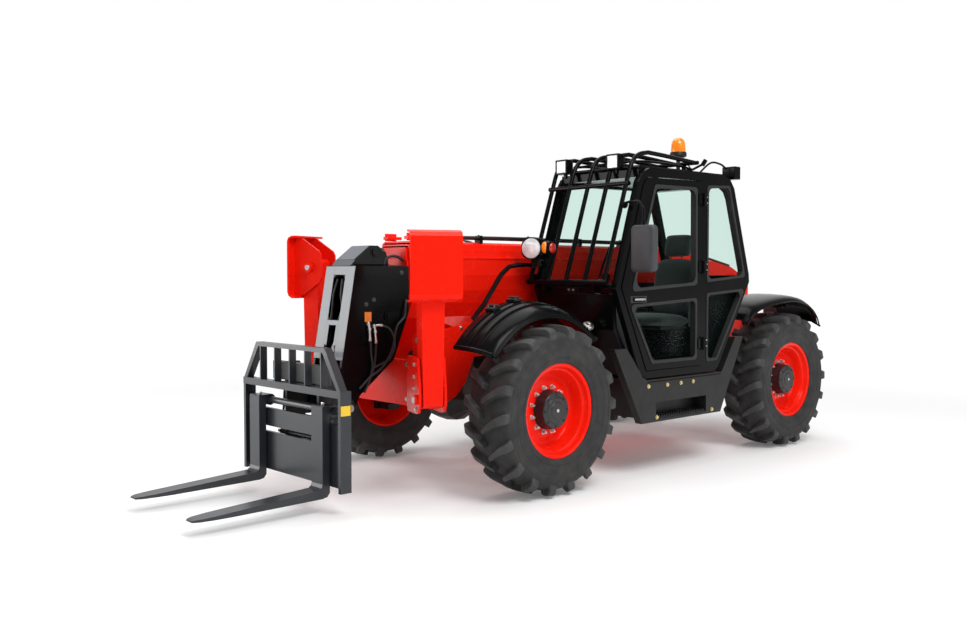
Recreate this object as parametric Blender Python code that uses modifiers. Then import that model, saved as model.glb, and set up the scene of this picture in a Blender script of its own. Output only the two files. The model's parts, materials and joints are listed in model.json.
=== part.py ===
"""Telehandler: four-wheel-drive telescopic handler with front stabilizers and pallet forks.

Metres, +Z up, front of the machine towards -Y, cab on the +X side.
All outlines below are written in the wheelbase frame (Y = 0 midway between the
axles, Z = 0 on the floor); the root empty shifts the whole machine along Y so
that the origin is the bottom centre of its bounding box.
"""
import bpy
import bmesh
import math
from mathutils import Vector, Matrix

# ------------------------------------------------------------------ dimensions
Y_SHIFT = 0.8000          # wheelbase frame -> part frame
AXLE_Y = 1.50             # half the wheelbase
WHEEL_X = 0.98            # wheel centre plane
TYRE_R = 0.60
TYRE_HALF_W = 0.20
HUB_Z = 0.595             # axle height, tyre slightly squashed by its load
RIM_R = 0.335
KING_X = 0.80             # steering axis
BOOM_PIVOT = (0.0, 2.05, 1.42)
LIFT_BASE = (0.0, 1.75, 0.88)
LIFT_EYE = (0.0, 0.55, 1.145)
TILT_PIVOT = (0.0, -2.60, 0.62)
TILT_BASE = (0.0, -2.275, 1.655)
TILT_EYE = (0.0, -2.675, 0.80)
ARM_X, ARM_Y = 0.69, -2.270   # stabilizer arm centre line
ARM_PIVOT_Z = 0.70
ARM_SPLAY = math.radians(22)  # arms swing outwards and a little forwards
FOOT_PIN_Z = 1.585
CAB_IN, CAB_OUT, WALL = 0.28, 1.12, 0.05
DOOR_HINGE = (1.140, 0.188)
HOOD_HINGE = (-0.325, 1.385)
FORK_X = 0.40
SHAFT_Y = -2.885
GAP = 0.0006

# --------------------------------------------------------------- scene cleanup
for o in list(bpy.data.objects):
    bpy.data.objects.remove(o, do_unlink=True)
scene = bpy.context.scene
COL = bpy.data.collections.new("telehandler")
scene.collection.children.link(COL)
CUT = bpy.data.collections.new("cutters")
scene.collection.children.link(CUT)


def material(name, rgb, rough, metal=0.0, alpha=1.0):
    m = bpy.data.materials.new(name)
    m.use_nodes = True
    b = m.node_tree.nodes["Principled BSDF"]
    b.inputs["Base Color"].default_value = (*rgb, 1.0)
    b.inputs["Roughness"].default_value = rough
    b.inputs["Metallic"].default_value = metal
    b.inputs["Alpha"].default_value = alpha
    m.diffuse_color = (*rgb, 1.0)
    return m


RED = ("body_red", (0.78, 0.035, 0.015), 0.35)
BLACK = ("black_paint", (0.012, 0.012, 0.014), 0.35)
GREY = ("carriage_grey", (0.06, 0.065, 0.075), 0.45)
RUBBER = ("tyre_rubber", (0.022, 0.022, 0.024), 0.85)
GLASS = ("glass", (0.45, 0.62, 0.56), 0.05)
CHROME = ("chrome", (0.75, 0.75, 0.75), 0.12, 1.0)
IRON = ("cast_iron", (0.10, 0.10, 0.11), 0.6, 0.4)
PLASTIC = ("black_plastic", (0.02, 0.02, 0.022), 0.5)
FABRIC = ("seat_fabric", (0.03, 0.05, 0.055), 0.8)
AMBER = ("amber", (0.9, 0.32, 0.02), 0.2)


# ------------------------------------------------------------------- modelling
def obj_from_mesh(name, me):
    o = bpy.data.objects.new(name, me)
    CUT.objects.link(o)
    return o


def box(x0, x1, y0, y1, z0, z1, bevel=0.0):
    me = bpy.data.meshes.new("box")
    bm = bmesh.new()
    bmesh.ops.create_cube(bm, size=1.0)
    bmesh.ops.scale(bm, vec=(x1 - x0, y1 - y0, z1 - z0), verts=bm.verts)
    bmesh.ops.translate(bm, vec=((x0 + x1) / 2, (y0 + y1) / 2, (z0 + z1) / 2), verts=bm.verts)
    if bevel:
        bmesh.ops.bevel(bm, geom=list(bm.edges), offset=bevel, segments=1, affect='EDGES')
    bm.to_mesh(me)
    bm.free()
    return obj_from_mesh("box", me)


def cyl(p0, p1, r, n=16, r2=None):
    p0, p1 = Vector(p0), Vector(p1)
    me = bpy.data.meshes.new("cyl")
    bm = bmesh.new()
    bmesh.ops.create_cone(bm, cap_ends=True, segments=n, radius1=r, radius2=r if r2 is None else r2,
                          depth=(p1 - p0).length)
    q = (p1 - p0).to_track_quat('Z', 'Y')
    bmesh.ops.transform(bm, matrix=Matrix.Translation((p0 + p1) / 2) @ q.to_matrix().to_4x4(), verts=bm.verts)
    bm.to_mesh(me)
    bm.free()
    return obj_from_mesh("cyl", me)


def to_mesh(o):
    """Evaluated mesh of a curve or of an object with modifiers, welded, in world space."""
    dg = bpy.context.evaluated_depsgraph_get()
    dg.update()
    me = bpy.data.meshes.new_from_object(o.evaluated_get(dg))
    me.transform(o.matrix_world)
    bm = bmesh.new()
    bm.from_mesh(me)
    bmesh.ops.remove_doubles(bm, verts=bm.verts, dist=0.00005)
    bmesh.ops.recalc_face_normals(bm, faces=bm.faces)
    bm.to_mesh(me)
    bm.free()
    new = obj_from_mesh(o.name + "_m", me)
    bpy.data.objects.remove(o, do_unlink=True)
    return new


def plate(outline, axis, a0, a1, holes=()):
    """Flat outline extruded from a0 to a1. axis 'X': points are (y, z); 'Y': (x, z); 'Z': (x, y)."""
    cu = bpy.data.curves.new("outline", 'CURVE')
    cu.dimensions = '2D'
    cu.fill_mode = 'BOTH'
    cu.extrude = (a1 - a0) / 2
    for loop in [outline, *holes]:
        s = cu.splines.new('POLY')
        s.points.add(len(loop) - 1)
        for p, (u, v) in zip(s.points, loop):
            p.co = (u, v, 0, 1)
        s.use_cyclic_u = True
    o = bpy.data.objects.new("plate", cu)
    CUT.objects.link(o)
    mid = (a0 + a1) / 2
    if axis == 'X':
        o.matrix_world = Matrix(((0, 0, 1, mid), (1, 0, 0, 0), (0, 1, 0, 0), (0, 0, 0, 1)))
    elif axis == 'Y':
        o.matrix_world = Matrix(((1, 0, 0, 0), (0, 0, -1, mid), (0, 1, 0, 0), (0, 0, 0, 1)))
    else:
        o.matrix_world = Matrix.Translation((0, 0, mid))
    return to_mesh(o)


def tube(points, r, res=2, cyclic=False):
    cu = bpy.data.curves.new("tube", 'CURVE')
    cu.dimensions = '3D'
    cu.bevel_depth = r
    cu.bevel_resolution = res
    cu.use_fill_caps = True
    s = cu.splines.new('POLY')
    s.points.add(len(points) - 1)
    for p, c in zip(s.points, points):
        p.co = (*c, 1)
    s.use_cyclic_u = cyclic
    o = bpy.data.objects.new("tube", cu)
    CUT.objects.link(o)
    return to_mesh(o)


def lathe(profile, centre, direction, n=24, closed=False):
    """Profile of (radius, height) turned about `direction` through `centre`."""
    me = bpy.data.meshes.new("profile")
    bm = bmesh.new()
    vs = [bm.verts.new((r, 0, h)) for r, h in profile]
    for a, b in zip(vs, vs[1:]):
        bm.edges.new((a, b))
    if closed:
        bm.edges.new((vs[-1], vs[0]))
    bm.to_mesh(me)
    bm.free()
    o = obj_from_mesh("turned", me)
    m = o.modifiers.new("Screw", 'SCREW')
    m.axis = 'Z'
    m.steps = n
    m.render_steps = n
    m.use_merge_vertices = True
    m.merge_threshold = 0.00005
    m.use_smooth_shade = False
    q = Vector(direction).to_track_quat('Z', 'Y')
    o.matrix_world = Matrix.Translation(Vector(centre)) @ q.to_matrix().to_4x4()
    return to_mesh(o)


def shell(rows, thickness, offset=1.0):
    """Loft between rows of points, given thickness by Solidify."""
    me = bpy.data.meshes.new("shell")
    bm = bmesh.new()
    grid = [[bm.verts.new(p) for p in row] for row in rows]
    for r0, r1 in zip(grid, grid[1:]):
        for i in range(len(r0) - 1):
            bm.faces.new((r0[i], r0[i + 1], r1[i + 1], r1[i]))
    bmesh.ops.recalc_face_normals(bm, faces=bm.faces)
    up = sum(f.normal.z * f.calc_area() for f in bm.faces)
    if up < 0:
        bmesh.ops.reverse_faces(bm, faces=bm.faces)
    bm.to_mesh(me)
    bm.free()
    o = obj_from_mesh("shell", me)
    m = o.modifiers.new("Solidify", 'SOLIDIFY')
    m.thickness = thickness
    m.offset = offset
    return to_mesh(o)


def boolean(base, other, op):
    m = base.modifiers.new(op, 'BOOLEAN')
    m.operation = op
    m.object = other
    m.solver = 'EXACT'
    new = to_mesh(base)
    bpy.data.objects.remove(other, do_unlink=True)
    return new


def fuse(parts, cuts=(), both=()):
    base = parts[0]
    for p in parts[1:]:
        base = boolean(base, p, 'UNION')
    for p in both:
        base = boolean(base, p, 'INTERSECT')
    for p in cuts:
        base = boolean(base, p, 'DIFFERENCE')
    return base


def inset(loop, d):
    """Closed outline moved inwards by d (outwards if d is negative)."""
    n = len(loop)
    area = sum(loop[i][0] * loop[(i + 1) % n][1] - loop[(i + 1) % n][0] * loop[i][1] for i in range(n))
    s = 1.0 if area > 0 else -1.0
    out = []
    for i in range(n):
        p, a, b = Vector(loop[i]), Vector(loop[i - 1]), Vector(loop[(i + 1) % n])
        e1, e2 = (p - a).normalized(), (b - p).normalized()
        n1, n2 = Vector((-e1.y, e1.x)) * s, Vector((-e2.y, e2.x)) * s
        k = (n1 + n2)
        k = k / max(1e-6, k.dot(n1))
        q = p + k * d
        out.append((q.x, q.y))
    return out


def flip(o):
    """Mirror image through the plane X = 0."""
    me = o.data.copy()
    me.transform(Matrix.Scale(-1, 4, (1, 0, 0)))
    me.flip_normals()
    return obj_from_mesh(o.name, me)


def copy(o, move=(0, 0, 0)):
    me = o.data.copy()
    me.transform(Matrix.Translation(move))
    return obj_from_mesh(o.name, me)


def arc(cy, cz, r, a0, a1, n):
    return [(cy + r * math.cos(math.radians(a0 + (a1 - a0) * i / n)),
             cz + r * math.sin(math.radians(a0 + (a1 - a0) * i / n))) for i in range(n + 1)]


# -------------------------------------------------------------- bodies (empties)
ROOT = bpy.data.objects.new("machine_frame", None)
COL.objects.link(ROOT)
ROOT.location = (0, Y_SHIFT, 0)
PIVOTS = {"chassis": (0, 0, 0)}
for side, sx in (("left", 1), ("right", -1)):
    for end, sy in (("front", -1), ("rear", 1)):
        PIVOTS[f"{end}_{side}_knuckle"] = (sx * KING_X, sy * AXLE_Y, HUB_Z)
        PIVOTS[f"{end}_{side}_wheel"] = (sx * WHEEL_X, sy * AXLE_Y, HUB_Z)
    PIVOTS[f"stabilizer_{side}"] = (sx * ARM_X, ARM_Y, ARM_PIVOT_Z)
    PIVOTS[f"foot_{side}"] = (sx * ARM_X, ARM_Y, FOOT_PIN_Z)
    PIVOTS[f"fork_{side}"] = (sx * FORK_X, SHAFT_Y, 0.655)
PIVOTS.update(cab_door=(*DOOR_HINGE, 1.5), engine_hood=(HOOD_HINGE[0], 0.0, HOOD_HINGE[1]),
              boom=BOOM_PIVOT, boom_mid=(0, -2.04, 1.48), boom_inner=(0, -2.05, 1.48),
              carriage=TILT_PIVOT, lift_barrel=LIFT_BASE, lift_rod=LIFT_EYE,
              tilt_barrel=TILT_BASE, tilt_rod=TILT_EYE)
BODY = {}
for name, p in PIVOTS.items():
    e = bpy.data.objects.new("axis_" + name, None)
    COL.objects.link(e)
    e.parent = ROOT
    e.location = p
    BODY[name] = e
MATS = {}


def node(name, body, o, spec):
    if spec[0] not in MATS:
        MATS[spec[0]] = material(*spec)
    o.name = name
    o.data.name = name
    CUT.objects.unlink(o)
    COL.objects.link(o)
    o.data.materials.clear()
    o.data.materials.append(MATS[spec[0]])
    o.parent = BODY[body]
    o.location = -Vector(PIVOTS[body])
    return o


# --------------------------------------------------------------------- chassis
side_plate = [(-2.13, 0.62), (-1.90, 0.61), (-1.80, 0.65), (-1.70, 0.755), (-1.645, 0.88), (-1.62, 0.93),
              (-1.25, 0.93), (-1.15, 0.80), (-1.05, 0.50), (1.10, 0.50), (1.20, 0.78), (1.28, 0.90),
              (1.72, 0.90), (1.84, 0.72), (1.95, 0.60), (2.18, 0.60), (2.18, 1.12), (1.05, 1.12),
              (0.98, 0.755), (-1.00, 0.755), (-1.08, 1.08), (-1.45, 1.19), (-1.66, 1.185), (-2.08, 1.10),
              (-2.13, 1.05)]
upright = [(1.60, 0.80), (2.175, 0.80), (2.175, 1.45), (2.12, 1.515), (2.05, 1.535), (1.98, 1.515),
           (1.92, 1.45), (1.62, 0.98)]
parts = [plate(side_plate, 'X', 0.37, 0.40), plate(side_plate, 'X', -0.40, -0.37)]
bridge = [box(-0.385, 0.385, -1.04, 1.09, 0.505, 0.535),           # belly plate
          box(-0.385, 0.385, -1.06, -1.03, 0.52, 0.745),
          box(-0.385, 0.385, 1.065, 1.095, 0.52, 0.80),
          box(-0.385, 0.385, 2.14, 2.172, 0.64, 1.10),
          box(-0.385, 0.385, 1.905, 2.16, 0.785, 0.815),
          box(-0.385, 0.385, -1.60, -1.27, 0.945, 0.975),          # front axle saddle
          box(-0.385, 0.385, -2.12, -2.09, 0.64, 0.905)]
lifts = [plate(upright, 'X', 0.235, 0.275), plate(upright, 'X', -0.275, -0.235),
         box(0.10, 0.38, 1.625, 1.665, 0.80, 0.915), box(-0.38, -0.10, 1.625, 1.665, 0.80, 0.915),
         box(0.10, 0.245, 1.808, 1.842, 0.805, 0.915), box(-0.245, -0.10, 1.808, 1.842, 0.805, 0.915),
         plate([(1.65, 0.79), (1.86, 0.79), (1.85, 0.93), (1.75, 0.965), (1.67, 0.93)], 'X', 0.0855, 0.11),
         plate([(1.65, 0.79), (1.86, 0.79), (1.85, 0.93), (1.75, 0.965), (1.67, 0.93)], 'X', -0.11, -0.0855),
         cyl((0.274, 2.05, 1.42), (0.30, 2.05, 1.42), 0.055), cyl((-0.274, 2.05, 1.42), (-0.30, 2.05, 1.42), 0.055),
         cyl((0.105, 1.75, 0.88), (0.13, 1.75, 0.88), 0.035, 12), cyl((-0.105, 1.75, 0.88), (-0.13, 1.75, 0.88), 0.035, 12)]
frame_o = fuse(bridge[:1] + parts + bridge[1:] + lifts)
node("chassis_frame", "chassis", frame_o, RED)

# front bulkhead with the two splayed stabilizer brackets
ca, sa = math.cos(ARM_SPLAY), math.sin(ARM_SPLAY)


def splay(o, side=1):
    """Local frame (u outwards, v forwards, z) of the left arm -> machine frame."""
    o.data.transform(Matrix(((ca, -sa, 0, ARM_X), (-sa, -ca, 0, ARM_Y), (0, 0, 1, 0), (0, 0, 0, 1))))
    o.data.flip_normals()
    return o


def prism_local(outline, v0, v1, holes=()):
    o = plate(outline, 'Y', v0, v1, holes)   # (u, z) outline, thickness along v
    return splay(o)


bracket_out = [(-0.22, 0.602), (-0.03, 0.602), (0.03, 0.615), (0.055, 0.66), (0.055, 0.76),
               (0.02, 0.98), (-0.22, 0.98)]
bk = [prism_local(bracket_out, 0.080, 0.098), prism_local(bracket_out, -0.098, -0.080),
      prism_local([(-0.26, 0.622), (-0.105, 0.622), (-0.105, 0.965), (-0.26, 0.965)], -0.090, 0.090)]


def local(u, v, z):
    return (ARM_X + u * ca - v * sa, ARM_Y - u * sa - v * ca, z)


bk += [cyl(local(0, 0.094, ARM_PIVOT_Z), local(0, 0.118, ARM_PIVOT_Z), 0.035, 12),
       plate([(0.40, 0.90), (0.55, 0.90), (0.55, 1.08), (0.53, 1.12), (0.50, 1.145), (0.46, 1.145),
              (0.42, 1.12), (0.40, 1.08)], 'Y', -2.192, -2.150),
       cyl((0.475, -2.215, 1.08), (0.475, -2.14, 1.08), 0.028, 12)]
left = fuse(bk)
right = flip(left)
web = plate([(-0.56, 0.61), (0.56, 0.61), (0.56, 0.93), (-0.56, 0.93)], 'Y', -2.168, -2.1306)
node("front_bulkhead", "chassis", fuse([web, left, right]), RED)

# engine bay, engine and counterweight
bay = fuse([box(-1.12, -0.405, -0.72, 0.70, 0.46, 0.95)], [box(-1.10, -0.425, -0.70, 0.68, 0.485, 1.10)])
node("engine_bay", "chassis", bay, BLACK)
node("engine_block", "chassis", box(-0.98, -0.52, -0.48, 0.46, 0.50, 1.18, 0.02), IRON)
cw_side = [(2.1812, 0.62), (2.22, 0.62), (2.26, 0.67), (2.26, 1.07), (2.22, 1.13), (2.1812, 1.13)]
node("counterweight", "chassis", plate(cw_side, 'X', -0.62, 0.62), BLACK)

# ----------------------------------------------------------------------- axles
for end, sy in (("front", -1), ("rear", 1)):
    y = sy * AXLE_Y
    beam = [(0.0, 0.655), (0.075, 0.655), (0.08, 0.30), (0.11, 0.22), (0.175, 0.11), (0.185, 0.0),
            (0.175, -0.11), (0.11, -0.22), (0.08, -0.30), (0.075, -0.655), (0.0, -0.655)]
    ax = fuse([lathe(beam, (0, y, HUB_Z), (1, 0, 0), 14),
               cyl((KING_X, y, HUB_Z - 0.125), (KING_X, y, HUB_Z + 0.125), 0.062, 12),
               cyl((-KING_X, y, HUB_Z - 0.125), (-KING_X, y, HUB_Z + 0.125), 0.062, 12),
               box(-KING_X + 0.03, -0.63, y - 0.05, y + 0.05, HUB_Z - 0.06, HUB_Z + 0.06),
               box(0.63, KING_X - 0.03, y - 0.05, y + 0.05, HUB_Z - 0.06, HUB_Z + 0.06),
               box(-0.36, -0.24, y - 0.09, y + 0.09, HUB_Z + 0.02, 0.9275 if sy < 0 else 0.8975),
               box(0.24, 0.36, y - 0.09, y + 0.09, HUB_Z + 0.02, 0.9275 if sy < 0 else 0.8975)])
    node(f"{end}_axle", "chassis", ax, BLACK)

# ------------------------------------------------- knuckles, tyres, rims, fenders
tyre_profile = [(RIM_R, -0.178), (0.450, -0.200), (0.545, -0.197), (0.585, -0.170), (HUB_Z, -0.120),
                (HUB_Z, 0.120), (0.585, 0.170), (0.545, 0.197), (0.450, 0.200), (RIM_R, 0.178)]
# rim: deep dish seen from outside, hub drum in the middle (height runs outwards)
rim_profile = [(0.0, 0.150), (0.085, 0.150), (0.125, 0.138), (0.132, 0.060), (0.200, 0.045),
               (0.250, 0.050), (0.285, 0.120), (0.313, 0.162), (0.3320, 0.168), (0.3320, -0.168),
               (0.312, -0.168), (0.270, -0.060), (0.230, 0.015), (0.0, 0.020)]
knuckle_parts = lambda x, y: [
    box(x + 0.075, x + 0.115, y - 0.075, y + 0.075, HUB_Z - 0.185, HUB_Z + 0.185),
    box(x - 0.065, x + 0.10, y - 0.055, y + 0.055, HUB_Z + 0.135, HUB_Z + 0.18),
    box(x - 0.065, x + 0.10, y - 0.055, y + 0.055, HUB_Z - 0.18, HUB_Z - 0.135),
    cyl((x + 0.10, y, HUB_Z), (0.992, y, HUB_Z), 0.10, 14),
]
for end, sy in (("front", -1), ("rear", 1)):
    y = sy * AXLE_Y
    kn = fuse(knuckle_parts(KING_X, y))
    tyre = lathe(tyre_profile, (WHEEL_X, y, HUB_Z), (1, 0, 0), 28, closed=True)
    rim = lathe(rim_profile, (WHEEL_X, y, HUB_Z), (1, 0, 0), 20)
    for side in ("right", "left"):
        k, t, r = (flip(kn), flip(tyre), flip(rim)) if side == "right" else (kn, tyre, rim)
        node(f"{end}_{side}_knuckle", f"{end}_{side}_knuckle", k, BLACK)
        node(f"{end}_{side}_tyre", f"{end}_{side}_wheel", t, RUBBER)
        node(f"{end}_{side}_rim", f"{end}_{side}_wheel", r, RED)

# front fenders turn with the wheels
rows = []
for i in range(11):
    a = math.radians(143 - (143 - 44) * i / 10)
    row = []
    for x, r in ((0.735, 0.752), (0.80, 0.748), (0.90, 0.737), (0.99, 0.712), (1.045, 0.682)):
        row.append((x, -AXLE_Y + r * math.cos(a), HUB_Z + r * math.sin(a)))
    rows.append(row)
stem = box(0.738, 0.762, -AXLE_Y - 0.05, -AXLE_Y + 0.05, HUB_Z + 0.1806, HUB_Z + 0.757)
ff = fuse([shell(rows, 0.016), stem])
ffr = flip(ff)
node("front_left_fender", "front_left_knuckle", ff, BLACK)
node("front_right_fender", "front_right_knuckle", ffr, BLACK)
# rear fenders are fixed to the chassis
prof = [(0.795, 1.155), (0.86, 1.215), (0.98, 1.275), (1.23, 1.322), (1.50, 1.345), (1.70, 1.325),
        (1.86, 1.262), (1.95, 1.185), (1.995, 1.105)]
rows = [[(x, yy, zz + dz) for x, dz in ((0.74, 0.012), (0.86, 0.012), (1.02, 0.005), (1.12, -0.012), (1.165, -0.045))]
        for yy, zz in prof]
rf = fuse([shell(rows, 0.016), box(0.80, 0.90, 1.77, 1.83, 1.225, 1.31),
           cyl((0.2756, 1.80, 1.245), (0.85, 1.80, 1.245), 0.022, 10)])
rfr = flip(rf)
node("rear_left_fender", "chassis", rf, BLACK)
node("rear_right_fender", "chassis", rfr, BLACK)

# -------------------------------------------------------------------------- cab
ring = [(-0.876, 1.425), (-0.62, 2.225), (-0.575, 2.295), (-0.49, 2.335), (0.46, 2.352), (0.575, 2.315),
        (0.635, 2.245), (0.862, 1.535), (0.868, 1.470), (0.42, 0.775), (0.37, 0.745), (-0.53, 0.745),
        (-0.60, 0.80)]
door_hole = [(-0.822, 1.435), (-0.575, 2.205), (-0.54, 2.25), (-0.49, 2.268), (0.165, 2.280), (0.165, 0.800),
             (-0.525, 0.800)]
q_up = [(0.262, 2.235), (0.48, 2.247), (0.545, 2.215), (0.582, 2.155), (0.775, 1.560), (0.748, 1.512), (0.262, 1.482)]
q_low = [(0.262, 1.372), (0.752, 1.402), (0.765, 1.370), (0.405, 0.845), (0.262, 0.838)]
r_up = [(-0.775, 1.46), (-0.56, 2.155), (-0.50, 2.23), (-0.44, 2.245), (0.48, 2.26), (0.545, 2.22), (0.585, 2.155),
        (0.785, 1.545), (0.745, 1.46)]
XI, XO = CAB_IN + WALL, CAB_OUT - WALL
cab = fuse([plate(ring, 'X', XO, CAB_OUT, [door_hole, q_up, q_low]),
            box(XI - 0.02, XO + 0.02, -0.588, -0.542, 2.264, 2.322),
            box(XI - 0.02, XO + 0.02, 0.50, 0.60, 2.255, 2.33),
            box(XI - 0.02, XO + 0.02, -0.862, -0.826, 1.395, 1.435),
            box(XI - 0.02, XO + 0.02, 0.800, 0.855, 1.455, 1.525),
            plate(ring, 'X', CAB_IN, XI, [r_up])])
node("cab_frame", "chassis", cab, BLACK)
tub = [(-0.855, 1.385), (-0.815, 1.385), (-0.795, 1.13), (-0.585, 0.805), (0.385, 0.805), (0.79, 1.445),
       (0.835, 1.445), (0.405, 0.765), (-0.61, 0.765), (-0.83, 1.12)]
base = fuse([plate(tub, 'X', XI + GAP, XO - 0.0075), box(0.53, 0.91, -0.06, 0.34, 0.79, 1.085)])
node("cab_base", "chassis", base, BLACK)
roof = fuse([box(XI + 0.004, XO - 0.004, -0.535, 0.49, 2.270, 2.362, 0.012),
             box(0.93, 1.06, 0.48, 0.71, 2.335, 2.355), box(0.985, 1.10, 0.665, 0.745, 2.33, 2.43, 0.008)])
node("cab_roof", "chassis", roof, BLACK)
node("windshield", "chassis", plate([(-0.848, 1.437), (-0.840, 1.437), (-0.585, 2.258), (-0.593, 2.258)],
                                    'X', XI + GAP, XO - GAP), GLASS)
node("rear_glass", "chassis", plate([(0.838, 1.528), (0.846, 1.528), (0.612, 2.262), (0.604, 2.262)],
                                    'X', XI + GAP, XO - GAP), GLASS)
node("right_glass", "chassis", plate(inset(r_up, GAP), 'X', 0.302, 0.308), GLASS)
quarter = [(0.254, 2.242), (0.484, 2.254), (0.552, 2.220), (0.590, 2.158), (0.783, 1.560), (0.773, 1.366),
           (0.410, 0.838), (0.254, 0.830)]
node("quarter_glass", "chassis", plate(quarter, 'X', XO - GAP - 0.006, XO - GAP), GLASS)

door_out = inset(door_hole, 0.006)
w_up = [(-0.690, 1.418), (-0.440, 2.165), (-0.405, 2.195), (0.070, 2.208), (0.092, 2.185), (0.098, 1.462)]
w_low = [(-0.705, 1.295), (0.098, 1.333), (0.098, 0.868), (-0.415, 0.868), (-0.475, 0.905)]
door = fuse([plate(door_out, 'X', 1.078, 1.126, [w_up, w_low])]
            + [cyl((DOOR_HINGE[0], DOOR_HINGE[1], z - 0.045), (DOOR_HINGE[0], DOOR_HINGE[1], z + 0.045), 0.0125, 10)
               for z in (2.128, 1.592, 0.980)]
            + [box(1.122, 1.134, 0.125, 0.186, z - 0.04, z + 0.04) for z in (2.128, 1.592, 0.980)]
            + [box(1.12, 1.142, -0.690, -0.560, 1.330, 1.362)])
node("door_frame", "cab_door", door, BLACK)
pane = [(-0.716, 1.30), (-0.700, 1.425), (-0.448, 2.172), (-0.408, 2.203), (0.074, 2.216), (0.106, 2.188),
        (0.106, 0.860), (-0.420, 0.860), (-0.482, 0.898)]
node("door_glass", "cab_door", plate(pane, 'X', 1.0734, 1.0774), GLASS)

# interior
seat = fuse([box(0.50, 0.94, -0.13, 0.33, 1.0865, 1.20, 0.03),
             plate([(0.255, 1.15), (0.385, 1.15), (0.455, 1.665), (0.345, 1.665)], 'X', 0.52, 0.92),
             plate([(0.355, 1.655), (0.43, 1.655), (0.455, 1.86), (0.375, 1.86)], 'X', 0.60, 0.84)])
node("seat", "chassis", seat, FABRIC)
ang = math.radians(38)
sw_c = Vector((0.72, -0.42, 1.345))
ax_d = Vector((0, math.sin(ang), math.cos(ang)))
ring_pts = []
for i in range(14):
    t = 2 * math.pi * i / 14
    e1, e2 = Vector((1, 0, 0)), ax_d.cross(Vector((1, 0, 0)))
    ring_pts.append(tuple(sw_c + (e1 * math.cos(t) + e2 * math.sin(t)) * 0.185))
spokes = [cyl(tuple(sw_c + (Vector((1, 0, 0)) * math.cos(t) + ax_d.cross(Vector((1, 0, 0))) * math.sin(t)) * 0.186),
              tuple(sw_c), 0.009, 8) for t in (math.radians(200), math.radians(340), math.radians(90))]
col = fuse([plate([(-0.775, 1.13), (-0.565, 0.808), (-0.47, 0.808), (-0.60, 1.30), (-0.62, 1.33), (-0.785, 1.33)],
                  'X', 0.42, 0.98),
            cyl(tuple(sw_c - ax_d * 0.30), tuple(sw_c + ax_d * 0.012), 0.033, 12)]
           + spokes + [tube(ring_pts, 0.014, 1, cyclic=True)])
node("steering_console", "chassis", col, PLASTIC)

# windshield guard with the two roof work lights
xs = [0.270, 0.460, 0.650, 0.840, 1.030]
tubes = []
for x in xs:
    tubes.append(tube([(x, -0.908, 1.475), (x, -0.662, 2.20), (x, -0.598, 2.365), (x, -0.515, 2.44), (x, -0.40, 2.466),
                       (x, 0.22, 2.432)], 0.0155, 1))
bars = [cyl((0.245, -0.907, 1.475), (1.055, -0.907, 1.475), 0.0175, 8),
        cyl((0.245, -0.657, 2.215), (1.055, -0.657, 2.215), 0.0165, 8),
        cyl((0.245, 0.213, 2.4325), (1.055, 0.213, 2.4325), 0.0155, 8),
        cyl((0.257, -0.604, 2.342), (1.043, -0.604, 2.342), 0.010, 6),
        box(0.40, 0.43, 0.205, 0.225, 2.3626, 2.43), box(0.90, 0.93, 0.205, 0.225, 2.3626, 2.43),
        box(0.295, 0.405, -0.635, -0.575, 2.335, 2.445, 0.01), box(0.825, 0.935, -0.635, -0.575, 2.335, 2.445, 0.01),
        box(0.40, 0.43, -0.908, -0.8635, 1.40, 1.475), box(0.90, 0.93, -0.908, -0.8635, 1.40, 1.475)]
node("windshield_guard", "chassis", fuse(bars[:4] + tubes + bars[4:]), BLACK)
bea = lathe([(0.0, 2.690), (0.045, 2.675), (0.062, 2.635), (0.066, 2.565), (0.072, 2.560), (0.072, 2.525),
             (0.030, 2.520), (0.016, 2.500), (0.016, 2.3626), (0.0, 2.3626)], (0.70, 0.43, 0), (0, 0, 1), 16)
node("beacon", "chassis", bea, AMBER)


def headlamp(to_cab):
    pts = [(0.385, -1.62, 1.206), (0.375, -1.50, 1.311), (0.352, -1.30, 1.535), (0.3515, -1.22, 1.592),
           (0.3515, -1.13, 1.606)]
    pts += [(0.3515, -0.822, 1.607)] if to_cab else [(0.3515, -0.96, 1.607)]
    body = lathe([(0.0, 0.055), (0.075, 0.055), (0.085, 0.04), (0.075, -0.05), (0.04, -0.085), (0.0, -0.09)],
                 (0.43, -0.985, 1.712), (0, -1, 0), 14)
    body.data.transform(Matrix.Translation((0.43, 0, 1.712)) @ Matrix.Diagonal((1.1, 1, 0.85, 1))
                        @ Matrix.Translation((-0.43, 0, -1.712)))
    return fuse([tube(pts, 0.0185, 1), cyl((0.3515, -0.975, 1.607), (0.43, -0.975, 1.70), 0.014, 8), body])


hl = headlamp(True)
hr = flip(headlamp(False))
node("headlamp_left", "chassis", hl, BLACK)
node("headlamp_right", "chassis", hr, BLACK)


def mirror():
    arm = tube([(1.053, -0.706, 2.045), (1.10, -0.74, 2.062), (1.27, -0.835, 2.062), (1.325, -0.855, 2.04),
                (1.355, -0.858, 1.99), (1.355, -0.858, 1.85)], 0.009, 1)
    return fuse([box(1.258, 1.462, -0.890, -0.825, 1.550, 1.885, 0.02), arm])


mir = mirror()
node("mirror_left", "chassis", mir, PLASTIC)
mr = fuse([box(1.258, 1.462, -0.86, -0.80, 1.38, 1.70, 0.02),
           tube([(1.05, -0.7206, 0.88), (1.05, -0.785, 0.88), (1.055, -0.808, 0.92), (1.08, -0.82, 1.15), (1.12, -0.825, 1.19),
                 (1.33, -0.83, 1.27), (1.355, -0.83, 1.30), (1.355, -0.83, 1.42)], 0.011, 1)])
mrr = flip(mr)
bpy.data.objects.remove(mr, do_unlink=True)
node("mirror_right", "chassis", mrr, PLASTIC)

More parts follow.
